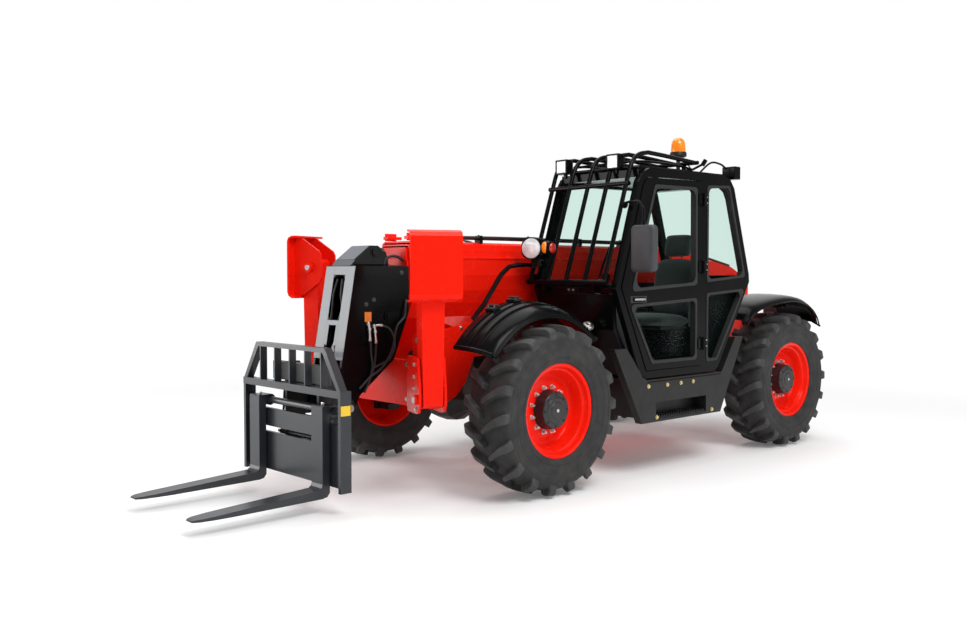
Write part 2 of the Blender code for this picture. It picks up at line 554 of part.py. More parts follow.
# left skirt: slanted arms, step box and tank behind
skirt = [(-0.918, 0.985), (-0.60, 0.410), (0.422, 0.410), (0.742, 1.013), (0.628, 1.013), (0.436, 0.735),
         (-0.540, 0.735), (-0.590, 0.76), (-0.776, 0.985)]
step = fuse([plate(skirt, 'X', 1.085, 1.145), box(0.43, 1.09, -0.50, 0.34, 0.43, 0.725)],
            [box(1.03, 1.20, -0.43, 0.22, 0.43, 0.56)])
node("step_panel", "chassis", step, BLACK)

# engine hood on the right side
hood_o = [(-1.12, 0.9515), (-1.12, 1.26), (-1.02, 1.375), (-0.335, 1.395), (-0.335, 0.9515)]
hood_i = [(-1.10, 0.90), (-1.10, 1.25), (-1.01, 1.353), (-0.30, 1.3735), (-0.30, 0.90)]
hood = fuse([plate(hood_o, 'Y', -0.765, 0.765)], [plate(hood_i, 'Y', -0.745, 0.745)])
node("engine_hood", "engine_hood", hood, RED)

# ------------------------------------------------------------------------- boom
half = [(0.150, 1.776), (0.182, 1.758), (0.192, 1.715), (0.192, 1.668), (0.205, 1.660), (0.205, 1.532),
        (0.195, 1.412), (0.165, 1.318), (0.110, 1.215)]
sect = half + [(-x, z) for x, z in reversed(half)]
side_o = [(-2.02, 1.15), (-2.02, 1.80), (0.90, 1.80), (1.98, 1.605), (2.12, 1.545), (2.165, 1.47), (2.165, 1.37),
          (2.12, 1.30), (1.98, 1.25), (1.60, 1.15)]
outer = fuse([plate(sect, 'Y', -2.02, 2.165)], both=[plate(side_o, 'X', -0.26, 0.26)],
             cuts=[plate(inset(sect, 0.013), 'Y', -2.10, 1.50)])
lug = [(0.38, 1.235), (0.72, 1.235), (0.60, 1.11), (0.55, 1.095), (0.50, 1.11)]
outer = fuse([outer, plate(lug, 'X', 0.048, 0.068), plate(lug, 'X', -0.068, -0.048),
              cyl((0.19, 2.05, 1.42), (0.231, 2.05, 1.42), 0.095, 20), cyl((-0.19, 2.05, 1.42), (-0.231, 2.05, 1.42), 0.095, 20)])
node("boom_outer", "boom", outer, RED)
mid_s = inset(sect, 0.024)
node("boom_mid", "boom_mid", fuse([plate(mid_s, 'Y', -2.038, 1.30)], [plate(inset(mid_s, 0.011), 'Y', -2.10, 1.10)]), RED)
bore = [(0.070, 1.30), (0.120, 1.36), (0.138, 1.45), (0.138, 1.67), (0.120, 1.70)]
bore += [(-x, z) for x, z in reversed(bore)]
node("boom_inner", "boom_inner", fuse([plate(inset(sect, 0.046), 'Y', -2.0546, 1.00)],
                                        [plate(bore, 'Y', -2.03, 1.20)]), RED)

nose_side = [(-2.055, 1.26), (-2.055, 1.592), (-2.185, 1.60), (-2.205, 1.69), (-2.275, 1.737), (-2.345, 1.737),
             (-2.475, 1.636), (-2.513, 1.592), (-2.628, 0.94), (-2.682, 0.63), (-2.672, 0.585), (-2.64, 0.552),
             (-2.60, 0.540), (-2.555, 0.555), (-2.485, 0.694), (-2.188, 0.93)]
nose_front = [(-0.18, 0.4), (0.18, 0.4), (0.18, 1.592), (0.118, 1.606), (0.106, 1.80), (-0.106, 1.80),
              (-0.118, 1.606), (-0.18, 1.592)]
cavity = [(-1.95, 1.16), (-2.072, 1.28), (-2.072, 1.570), (-2.488, 1.570), (-2.582, 1.04), (-3.0, 1.04),
          (-3.0, 0.40), (-1.95, 0.40)]
cap_cavity = [(-2.225, 1.55), (-2.225, 1.675), (-2.285, 1.717), (-2.34, 1.717), (-2.455, 1.625), (-2.47, 1.55)]
slot = [(-0.045, 1.215), (0.045, 1.215), (0.07, 1.24), (0.07, 1.505), (0.045, 1.53), (-0.045, 1.53), (-0.07, 1.505),
        (-0.07, 1.24)]
nose = fuse([plate(nose_side, 'X', -0.18, 0.18)], both=[plate(nose_front, 'Y', -2.9, -1.9)],
            cuts=[plate(cavity, 'X', -0.155, 0.155), plate(cap_cavity, 'X', -0.085, 0.085),
                  plate(slot, 'Y', -2.80, -2.44),
                  box(-0.042, 0.042, -2.75, -2.50, 1.0, 1.18)])
ty, tz = TILT_PIVOT[1:]
nose = fuse([nose, cyl((0.158, ty, tz), (0.1865, ty, tz), 0.052, 14), cyl((-0.158, ty, tz), (-0.1865, ty, tz), 0.052, 14)])
node("boom_nose", "boom_inner", nose, BLACK)

# ------------------------------------------------------------ hydraulic cylinders


def ram(p0, p1, r_out, r_in, r_rod, barrel_len, rod_in, base_w, eye_w, eye_r):
    """Barrel from the eye at p0, open towards p1; rod with its eye at p1."""
    p0, p1 = Vector(p0), Vector(p1)
    d = (p1 - p0).normalized()
    L = (p1 - p0).length
    b = lathe([(0.0, 0.035), (r_out * 0.8, 0.035), (r_out, 0.05), (r_out, barrel_len), (r_rod + 0.003, barrel_len),
               (r_rod + 0.003, barrel_len - 0.05), (r_in, barrel_len - 0.05), (r_in, 0.09), (0.0, 0.09)], p0, d, 16)
    b = fuse([b, cyl((-base_w / 2, p0.y, p0.z), (base_w / 2, p0.y, p0.z), eye_r * 1.05, 14)])
    start = L - rod_in
    rd = lathe([(0.0, start), (r_in - 0.003, start), (r_in - 0.003, start + 0.04), (r_rod, start + 0.041), (r_rod, L - eye_r * 0.7),
                (0.0, L - eye_r * 0.7)], p0, d, 16)
    rd = fuse([rd, cyl((-eye_w / 2, p1.y, p1.z), (eye_w / 2, p1.y, p1.z), eye_r, 14)])
    return b, rd


lb, lr = ram(LIFT_BASE, LIFT_EYE, 0.078, 0.066, 0.042, 1.02, 1.08, 0.160, 0.085, 0.05)
node("lift_cylinder_barrel", "lift_barrel", lb, BLACK)
node("lift_cylinder_rod", "lift_rod", lr, CHROME)
tb, tr = ram(TILT_BASE, TILT_EYE, 0.042, 0.036, 0.024, 0.56, 0.80, 0.110, 0.075, 0.036)
node("tilt_cylinder_barrel", "tilt_barrel", tb, BLACK)
node("tilt_cylinder_rod", "tilt_rod", tr, CHROME)

# ------------------------------------------------------------- coupler and forks
cheek = [(-2.60, 0.553), (-2.56, 0.575), (-2.54, 0.62), (-2.56, 0.665), (-2.62, 0.72), (-2.735, 0.93), (-2.84, 0.93),
         (-2.84, 0.33), (-2.79, 0.33), (-2.69, 0.553)]
ear = [(-2.640, 0.765), (-2.637, 0.825), (-2.675, 0.845), (-2.80, 0.90), (-2.80, 0.80), (-2.72, 0.765)]
cp = [box(-0.37, 0.37, -2.842, -2.79, 0.80, 0.925), box(-0.37, 0.37, -2.842, -2.80, 0.335, 0.405),
      plate(cheek, 'X', 0.190, 0.215), plate(cheek, 'X', -0.215, -0.190),
      plate(ear, 'X', 0.043, 0.061), plate(ear, 'X', -0.061, -0.043),
      cyl((0.210, ty, tz), (0.235, ty, tz), 0.042, 14), cyl((-0.210, ty, tz), (-0.235, ty, tz), 0.042, 14)]
node("coupler", "carriage", fuse(cp), BLACK)

wall = [(-0.595, 0.17), (0.595, 0.17), (0.595, 0.575), (0.46, 0.575), (0.46, 0.60), (-0.46, 0.60), (-0.46, 0.575),
        (-0.595, 0.575)]
wslot = [(-0.44, 0.435), (0.44, 0.435), (0.44, 0.475), (-0.44, 0.475)]
guard = [(-0.432, 1.030), (0.432, 1.030), (0.432, 1.060), (-0.432, 1.060)]
side_bar = [(0.575, 0.790), (0.616, 0.790), (0.438, 1.059), (0.402, 1.040)]
cr = [plate(wall, 'Y', -2.912, -2.886, [wslot]),
      box(0.589, 0.617, -2.940, -2.858, 0.146, 0.795), box(-0.617, -0.589, -2.940, -2.858, 0.146, 0.795),
      box(-0.6185, 0.6185, -2.9415, -2.880, 0.750, 0.798),
      plate(guard, 'Y', -2.939, -2.887),
      plate(side_bar, 'Y', -2.938, -2.884), plate([(-x, z) for x, z in reversed(side_bar)], 'Y', -2.938, -2.884)]
cr += [box(x - 0.006, x + 0.006, -2.936, -2.884, 0.785, 1.045) for x in (-0.385, -0.1925, 0.0, 0.1925, 0.385)]
cr += [cyl((-0.594, SHAFT_Y, 0.655), (0.594, SHAFT_Y, 0.655), 0.024, 12),
       box(-0.36, 0.36, -2.890, -2.8426, 0.335, 0.405),
       box(0.185, 0.225, -2.92, -2.8426, 0.755, 0.793), box(-0.225, -0.185, -2.92, -2.8426, 0.755, 0.793)]
carriage = fuse(cr)
node("fork_carriage", "carriage", carriage, GREY)
fork_l = [(-2.921, 0.620), (-2.900, 0.630), (-2.890, 0.692), (-2.970, 0.692), (-2.976, 0.684), (-2.976, 0.190),
          (-2.983, 0.167), (-3.000, 0.1545), (-3.830, 0.104), (-3.852, 0.100), (-3.860, 0.094), (-3.852, 0.089),
          (-3.60, 0.088), (-2.975, 0.098), (-2.940, 0.106), (-2.921, 0.132)]
plan = [(FORK_X - 0.065, -2.80), (FORK_X - 0.065, -3.72), (FORK_X - 0.056, -3.81), (FORK_X - 0.040, -3.848),
        (FORK_X - 0.015, -3.870), (FORK_X + 0.015, -3.870), (FORK_X + 0.040, -3.848), (FORK_X + 0.056, -3.81),
        (FORK_X + 0.065, -3.72), (FORK_X + 0.065, -2.80)]
blade = fuse([plate(fork_l, 'X', FORK_X - 0.075, FORK_X + 0.075)], both=[plate(plan, 'Z', 0.0, 0.9)])
fk_o = fuse([blade, cyl((FORK_X - 0.0645, SHAFT_Y, 0.655), (FORK_X + 0.0645, SHAFT_Y, 0.655), 0.040, 16)],
            [cyl((FORK_X - 0.10, SHAFT_Y, 0.655), (FORK_X + 0.10, SHAFT_Y, 0.655), 0.0275, 12)])
fk_r = flip(fk_o)
node("fork_left", "fork_left", fk_o, GREY)
node("fork_right", "fork_right", fk_r, GREY)

# ------------------------------------------------------------------ stabilizers
arm_side = [(-0.062, 0.665), (-0.045, 0.648), (0.045, 0.648), (0.062, 0.665), (0.066, 1.36), (0.066, 1.625),
            (0.045, 1.65), (-0.045, 1.65), (-0.066, 1.625), (-0.066, 1.36)]
arm = prism_local(arm_side, -0.0805, 0.0805)
# the tube narrows towards its lower pin
for v in arm.data.vertices:
    d = Vector((v.co.x - ARM_X, v.co.y - ARM_Y))
    uu, vv = d.x * ca - d.y * sa, -d.x * sa - d.y * ca
    if v.co.z < 1.0:
        vv *= 0.068 / 0.0805
        p = local(uu, vv, v.co.z)
        v.co.x, v.co.y = p[0], p[1]
arm_r = flip(arm)
node("stabilizer_arm_left", "stabilizer_left", arm, RED)
node("stabilizer_arm_right", "stabilizer_right", arm_r, RED)
SO = 0.146     # sole outer surface from the pin
flange = [(SO - 0.007, 1.41), (SO - 0.04, 1.3605), (0.06, 1.372), (-0.095, 1.475), (-0.115, 1.51), (-0.105, 1.68),
          (-0.09, 1.71), (0.06, 1.808), (SO - 0.04, 1.8195), (SO - 0.007, 1.77)]
sole_o = [(SO, 1.40), (SO, 1.785), (SO - 0.012, 1.812), (SO - 0.04, 1.825), (SO - 0.075, 1.827), (SO - 0.075, 1.813),
          (SO - 0.04, 1.811), (SO - 0.018, 1.80), (SO - 0.014, 1.785), (SO - 0.014, 1.40), (SO - 0.018, 1.378),
          (SO - 0.04, 1.368), (SO - 0.075, 1.366), (SO - 0.075, 1.352), (SO - 0.04, 1.353), (SO - 0.012, 1.370)]
foot = fuse([prism_local(sole_o, -0.18, 0.18), prism_local(flange, 0.0875, 0.1015), prism_local(flange, -0.1015, -0.0875),
             cyl(local(0, 0.100, FOOT_PIN_Z), local(0, 0.128, FOOT_PIN_Z), 0.040, 14),
             cyl(local(0, -0.100, FOOT_PIN_Z), local(0, -0.118, FOOT_PIN_Z), 0.040, 14)])
foot_r = flip(foot)
node("stabilizer_foot_left", "foot_left", foot, RED)
node("stabilizer_foot_right", "foot_right", foot_r, RED)

for o in list(CUT.objects):
    bpy.data.objects.remove(o, do_unlink=True)
for o in COL.objects:
    if o.type == 'MESH' and any(k in o.name for k in ("tyre", "rim", "barrel", "rod", "beacon")):
        o.data.shade_smooth()
        o.data.set_sharp_from_angle(angle=math.radians(35))
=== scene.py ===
import bpy, bmesh, math, json
from mathutils import Vector, Matrix, noise

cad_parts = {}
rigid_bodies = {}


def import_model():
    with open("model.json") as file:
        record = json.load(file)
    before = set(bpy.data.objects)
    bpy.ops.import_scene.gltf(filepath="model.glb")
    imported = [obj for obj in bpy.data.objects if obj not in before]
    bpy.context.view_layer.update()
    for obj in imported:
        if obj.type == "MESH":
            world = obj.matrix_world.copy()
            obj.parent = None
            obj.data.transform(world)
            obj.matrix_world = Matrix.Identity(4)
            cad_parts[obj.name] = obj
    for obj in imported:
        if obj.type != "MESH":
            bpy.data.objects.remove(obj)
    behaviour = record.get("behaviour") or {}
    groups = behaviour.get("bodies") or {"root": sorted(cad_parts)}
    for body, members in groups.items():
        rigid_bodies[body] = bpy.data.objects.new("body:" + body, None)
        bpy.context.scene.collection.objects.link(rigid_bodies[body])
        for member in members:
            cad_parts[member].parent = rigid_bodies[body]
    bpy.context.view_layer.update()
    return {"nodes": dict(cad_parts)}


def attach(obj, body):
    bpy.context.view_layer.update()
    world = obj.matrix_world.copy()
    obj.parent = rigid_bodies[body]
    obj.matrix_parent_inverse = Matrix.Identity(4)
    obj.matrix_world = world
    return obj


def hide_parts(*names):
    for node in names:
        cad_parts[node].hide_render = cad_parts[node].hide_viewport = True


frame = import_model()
pi = math.pi
YS = 0.80
rad = math.radians


def P(x, y, z):
    return Vector((x, y + YS, z))


# ================================================================ materials
def nodemat(name, rgb, rough, metal=0.0, coat=0.0, var=0.0, vscale=6.0, bump=0.0, bscale=120.0, rvar=0.0,
            spec=0.5, alpha=1.0, trans=0.0, emit=None, dust=None, tint=None):
    m = bpy.data.materials.new(name)
    m.use_nodes = True
    nt = m.node_tree
    N, L = nt.nodes, nt.links
    b = N["Principled BSDF"]
    b.inputs["Base Color"].default_value = (*rgb, 1)
    b.inputs["Roughness"].default_value = rough
    b.inputs["Metallic"].default_value = metal
    b.inputs["Coat Weight"].default_value = coat
    b.inputs["Coat Roughness"].default_value = 0.06
    b.inputs["Specular IOR Level"].default_value = spec
    if tint:
        b.inputs["Specular Tint"].default_value = (*tint, 1)
    b.inputs["Alpha"].default_value = alpha
    b.inputs["Transmission Weight"].default_value = trans
    if emit:
        b.inputs["Emission Color"].default_value = (*emit[0], 1)
        b.inputs["Emission Strength"].default_value = emit[1]
    tc = N.new("ShaderNodeTexCoord")
    if var > 0:
        n1 = N.new("ShaderNodeTexNoise"); n1.inputs["Scale"].default_value = vscale; n1.inputs["Detail"].default_value = 6
        L.new(tc.outputs["Object"], n1.inputs["Vector"])
        cr = N.new("ShaderNodeValToRGB")
        cr.color_ramp.elements[0].position = 0.3
        cr.color_ramp.elements[1].position = 0.75
        cr.color_ramp.elements[0].color = (*[c * (1 - var) for c in rgb], 1)
        cr.color_ramp.elements[1].color = (*[min(1, c * (1 + var) + 0.004 * var) for c in rgb], 1)
        L.new(n1.outputs["Fac"], cr.inputs["Fac"])
        out = cr.outputs["Color"]
        if dust:
            sx = N.new("ShaderNodeSeparateXYZ"); L.new(tc.outputs["Object"], sx.inputs[0])
            n3 = N.new("ShaderNodeTexNoise"); n3.inputs["Scale"].default_value = 9; n3.inputs["Detail"].default_value = 8
            L.new(tc.outputs["Object"], n3.inputs["Vector"])
            r3 = N.new("ShaderNodeValToRGB")
            r3.color_ramp.elements[0].position = 0.45; r3.color_ramp.elements[0].color = (0, 0, 0, 1)
            r3.color_ramp.elements[1].position = 0.8; r3.color_ramp.elements[1].color = (dust[1], dust[1], dust[1], 1)
            L.new(n3.outputs["Fac"], r3.inputs["Fac"])
            mx = N.new("ShaderNodeMix"); mx.data_type = 'RGBA'
            L.new(r3.outputs["Color"], mx.inputs["Factor"]); L.new(out, mx.inputs[6]); mx.inputs[7].default_value = (*dust[0], 1)
            out = mx.outputs[2]
        L.new(out, b.inputs["Base Color"])
    if rvar > 0:
        n4 = N.new("ShaderNodeTexNoise"); n4.inputs["Scale"].default_value = 11; n4.inputs["Detail"].default_value = 7
        L.new(tc.outputs["Object"], n4.inputs["Vector"])
        mr = N.new("ShaderNodeMapRange")
        mr.inputs["To Min"].default_value = max(0.02, rough - rvar); mr.inputs["To Max"].default_value = rough + rvar
        L.new(n4.outputs["Fac"], mr.inputs["Value"]); L.new(mr.outputs[0], b.inputs["Roughness"])
    if bump > 0:
        n5 = N.new("ShaderNodeTexNoise"); n5.inputs["Scale"].default_value = bscale; n5.inputs["Detail"].default_value = 4
        L.new(tc.outputs["Object"], n5.inputs["Vector"])
        bp = N.new("ShaderNodeBump"); bp.inputs["Strength"].default_value = bump; bp.inputs["Distance"].default_value = 0.002
        L.new(n5.outputs["Fac"], bp.inputs["Height"]); L.new(bp.outputs[0], b.inputs["Normal"])
    return m


M = {}
M["red"] = nodemat("red_enamel", (0.90, 0.0118, 0.0032), 0.27, spec=0.30, tint=(1.0, 0.22, 0.16), coat=0.05, var=0.02, vscale=3, rvar=0.02,
                   bump=0.012, bscale=40)
M["black"] = nodemat("black_gloss", (0.0028, 0.0030, 0.0035), 0.20, spec=0.085, coat=0.03, var=0.10, vscale=5, rvar=0.06, bump=0.05, bscale=60)
M["blacksat"] = nodemat("black_satin", (0.0105, 0.0103, 0.0100), 0.42, spec=0.30, var=0.3, vscale=7, rvar=0.08, bump=0.08, bscale=90)
M["grey"] = nodemat("carriage_paint", (0.0215, 0.0242, 0.0292), 0.34, spec=0.42, coat=0.10, var=0.12, vscale=8, rvar=0.05, bump=0.05, bscale=110)
# lug rubber is lighter than the carcass rubber: painted light on the lug faces that catch the lamps
M["lug"] = nodemat("tyre_lug_rubber", (0.034, 0.034, 0.035), 0.60, spec=0.45, var=0.30, vscale=18, rvar=0.08, bump=0.22, bscale=190,
                   dust=((0.075, 0.072, 0.067), 0.40))
M["rubber"] = nodemat("tyre_rubber_fine", (0.020, 0.020, 0.0205), 0.66, spec=0.4, var=0.35, vscale=14, rvar=0.08, bump=0.25, bscale=190,
                      dust=((0.06, 0.056, 0.05), 0.45))
M["hose"] = nodemat("hose_rubber", (0.012, 0.012, 0.013), 0.5, var=0.2, vscale=30, bump=0.2, bscale=400)
M["seal"] = nodemat("window_seal", (0.010, 0.010, 0.010), 0.62, var=0.2, vscale=20, bump=0.1, bscale=300)
M["plastic"] = nodemat("grained_plastic", (0.020, 0.020, 0.022), 0.5, var=0.2, vscale=10, bump=0.35, bscale=420)
M["greyplastic"] = nodemat("grey_plastic", (0.036, 0.038, 0.042), 0.55, var=0.15, vscale=10, bump=0.3, bscale=350)
M["steel"] = nodemat("zinc_steel", (0.62, 0.61, 0.59), 0.30, metal=1.0, var=0.12, vscale=40, rvar=0.08)
M["brass"] = nodemat("yellow_zinc", (0.72, 0.58, 0.30), 0.32, metal=1.0, var=0.15, vscale=40, rvar=0.08)
M["chrome"] = nodemat("chrome_rod", (0.82, 0.82, 0.83), 0.08, metal=1.0, var=0.03, vscale=20, rvar=0.03)
M["reflector"] = nodemat("lamp_reflector", (0.88, 0.88, 0.88), 0.15, metal=1.0, var=0.05, vscale=60)
M["iron"] = nodemat("cast_iron_block", (0.07, 0.07, 0.075), 0.6, metal=0.3, var=0.3, vscale=9, bump=0.3, bscale=80)
M["plate"] = nodemat("blank_plate_white", (0.62, 0.61, 0.58), 0.45, var=0.05, vscale=20)
M["plateo"] = nodemat("blank_plate_orange", (0.80, 0.22, 0.02), 0.45, var=0.05, vscale=20)
M["platey"] = nodemat("blank_plate_yellow", (0.80, 0.52, 0.02), 0.45, var=0.05, vscale=20)
M["hub"] = nodemat("hub_paint", (0.012, 0.012, 0.013), 0.35, var=0.3, vscale=12, rvar=0.1, bump=0.12, bscale=120)
M["mirror"] = nodemat("mirror_silver", (0.9, 0.9, 0.9), 0.03, metal=1.0, var=0.01, vscale=4)


def glass_mat():
    m = bpy.data.materials.new("tinted_glass")
    m.use_nodes = True
    nt = m.node_tree
    N, L = nt.nodes, nt.links
    b = N["Principled BSDF"]
    b.inputs["Base Color"].default_value = (0.012, 0.035, 0.028, 1)
    b.inputs["Roughness"].default_value = 0.02
    b.inputs["Specular IOR Level"].default_value = 0.9
    tc = N.new("ShaderNodeTexCoord")
    n = N.new("ShaderNodeTexNoise"); n.inputs["Scale"].default_value = 1.6; n.inputs["Detail"].default_value = 3
    L.new(tc.outputs["Object"], n.inputs["Vector"])
    cr = N.new("ShaderNodeValToRGB")
    cr.color_ramp.elements[0].color = (0.895, 0.955, 0.935, 1); cr.color_ramp.elements[1].color = (0.915, 0.970, 0.950, 1)
    L.new(n.outputs["Fac"], cr.inputs["Fac"])
    t = N.new("ShaderNodeBsdfTransparent")
    L.new(cr.outputs["Color"], t.inputs["Color"])
    lw = N.new("ShaderNodeLayerWeight"); lw.inputs["Blend"].default_value = 0.30
    mr = N.new("ShaderNodeMapRange")
    mr.inputs["From Min"].default_value = 0.25
    mr.inputs["To Min"].default_value = 0.012; mr.inputs["To Max"].default_value = 0.30
    L.new(lw.outputs["Facing"], mr.inputs["Value"])
    mx = N.new("ShaderNodeMixShader")
    L.new(mr.outputs[0], mx.inputs["Fac"]); L.new(t.outputs[0], mx.inputs[1]); L.new(b.outputs[0], mx.inputs[2])
    L.new(mx.outputs[0], N["Material Output"].inputs["Surface"])
    return m


def lamp_mat(name, lo, hi, scale, emit):
    """Moulded lens: fine ribs over a bright reflector."""
    m = bpy.data.materials.new(name)
    m.use_nodes = True
    N, L = m.node_tree.nodes, m.node_tree.links
    b = N["Principled BSDF"]
    b.inputs["Roughness"].default_value = 0.10
    b.inputs["Coat Weight"].default_value = 0.5
    b.inputs["Coat Roughness"].default_value = 0.03
    tc = N.new("ShaderNodeTexCoord")
    v = N.new("ShaderNodeTexVoronoi"); v.inputs["Scale"].default_value = scale * 0.35
    wv = N.new("ShaderNodeTexWave"); wv.bands_direction = 'X'; wv.inputs["Scale"].default_value = scale
    L.new(tc.outputs["Object"], v.inputs["Vector"]); L.new(tc.outputs["Object"], wv.inputs["Vector"])
    ad = N.new("ShaderNodeMath"); ad.operation = 'MULTIPLY_ADD'; ad.inputs[1].default_value = 0.35
    L.new(wv.outputs["Fac"], ad.inputs[0]); L.new(v.outputs["Distance"], ad.inputs[2])
    cr = N.new("ShaderNodeValToRGB")
    cr.color_ramp.elements[0].position = 0.15; cr.color_ramp.elements[0].color = (*hi, 1)
    cr.color_ramp.elements[1].position = 0.95; cr.color_ramp.elements[1].color = (*lo, 1)
    L.new(ad.outputs[0], cr.inputs["Fac"]); L.new(cr.outputs["Color"], b.inputs["Base Color"])
    b.inputs["Emission Color"].default_value = (*hi, 1)
    b.inputs["Emission Strength"].default_value = emit
    bp = N.new("ShaderNodeBump"); bp.inputs["Strength"].default_value = 0.35; bp.inputs["Distance"].default_value = 0.002
    L.new(ad.outputs[0], bp.inputs["Height"]); L.new(bp.outputs[0], b.inputs["Normal"])
    return m


M["white"] = lamp_mat("lens_white", (0.42, 0.43, 0.44), (0.97, 0.98, 0.99), 42, 0.22)
M["amber"] = lamp_mat("lens_amber", (0.72, 0.15, 0.002), (1.0, 0.28, 0.0), 45, 0.22)
M["redlens"] = lamp_mat("lens_red", (0.30, 0.005, 0.004), (0.75, 0.02, 0.01), 55, 0.05)
# grey for the nose's front faces: a painted reflection of the bright surroundings on the black gloss nose, not a paint
# colour
M["nose_reflection_grey"] = nodemat("nose_front_painted_reflection", (0.105, 0.118, 0.135), 0.30, spec=0.5, coat=0.15, var=0.06, vscale=4, rvar=0.04, bump=0.03, bscale=60)
M["glass"] = glass_mat()


def fabric_mat():
    m = bpy.data.materials.new("seat_weave")
    m.use_nodes = True
    nt = m.node_tree
    N, L = nt.nodes, nt.links
    b = N["Principled BSDF"]
    b.inputs["Roughness"].default_value = 0.85
    b.inputs["Sheen Weight"].default_value = 0.35
    tc = N.new("ShaderNodeTexCoord")
    w1 = N.new("ShaderNodeTexWave"); w1.bands_direction = 'X'; w1.inputs["Scale"].default_value = 170
    w2 = N.new("ShaderNodeTexWave"); w2.bands_direction = 'Z'; w2.inputs["Scale"].default_value = 170
    L.new(tc.outputs["Object"], w1.inputs["Vector"]); L.new(tc.outputs["Object"], w2.inputs["Vector"])
    mm = N.new("ShaderNodeMath"); mm.operation = 'MAXIMUM'
    L.new(w1.outputs["Fac"], mm.inputs[0]); L.new(w2.outputs["Fac"], mm.inputs[1])
    n = N.new("ShaderNodeTexNoise"); n.inputs["Scale"].default_value = 8; L.new(tc.outputs["Object"], n.inputs["Vector"])
    cr = N.new("ShaderNodeValToRGB")
    cr.color_ramp.elements[0].color = (0.012, 0.016, 0.018, 1); cr.color_ramp.elements[1].color = (0.045, 0.055, 0.058, 1)
    mx = N.new("ShaderNodeMath"); mx.operation = 'MULTIPLY'; L.new(mm.outputs[0], mx.inputs[0]); L.new(n.outputs["Fac"], mx.inputs[1])
    L.new(mx.outputs[0], cr.inputs["Fac"]); L.new(cr.outputs["Color"], b.inputs["Base Color"])
    bp = N.new("ShaderNodeBump"); bp.inputs["Strength"].default_value = 0.4; bp.inputs["Distance"].default_value = 0.0015
    L.new(mm.outputs[0], bp.inputs["Height"]); L.new(bp.outputs[0], b.inputs["Normal"])
    return m


M["fabric"] = fabric_mat()

# ================================================================ mesh helpers
COL = bpy.context.scene.collection


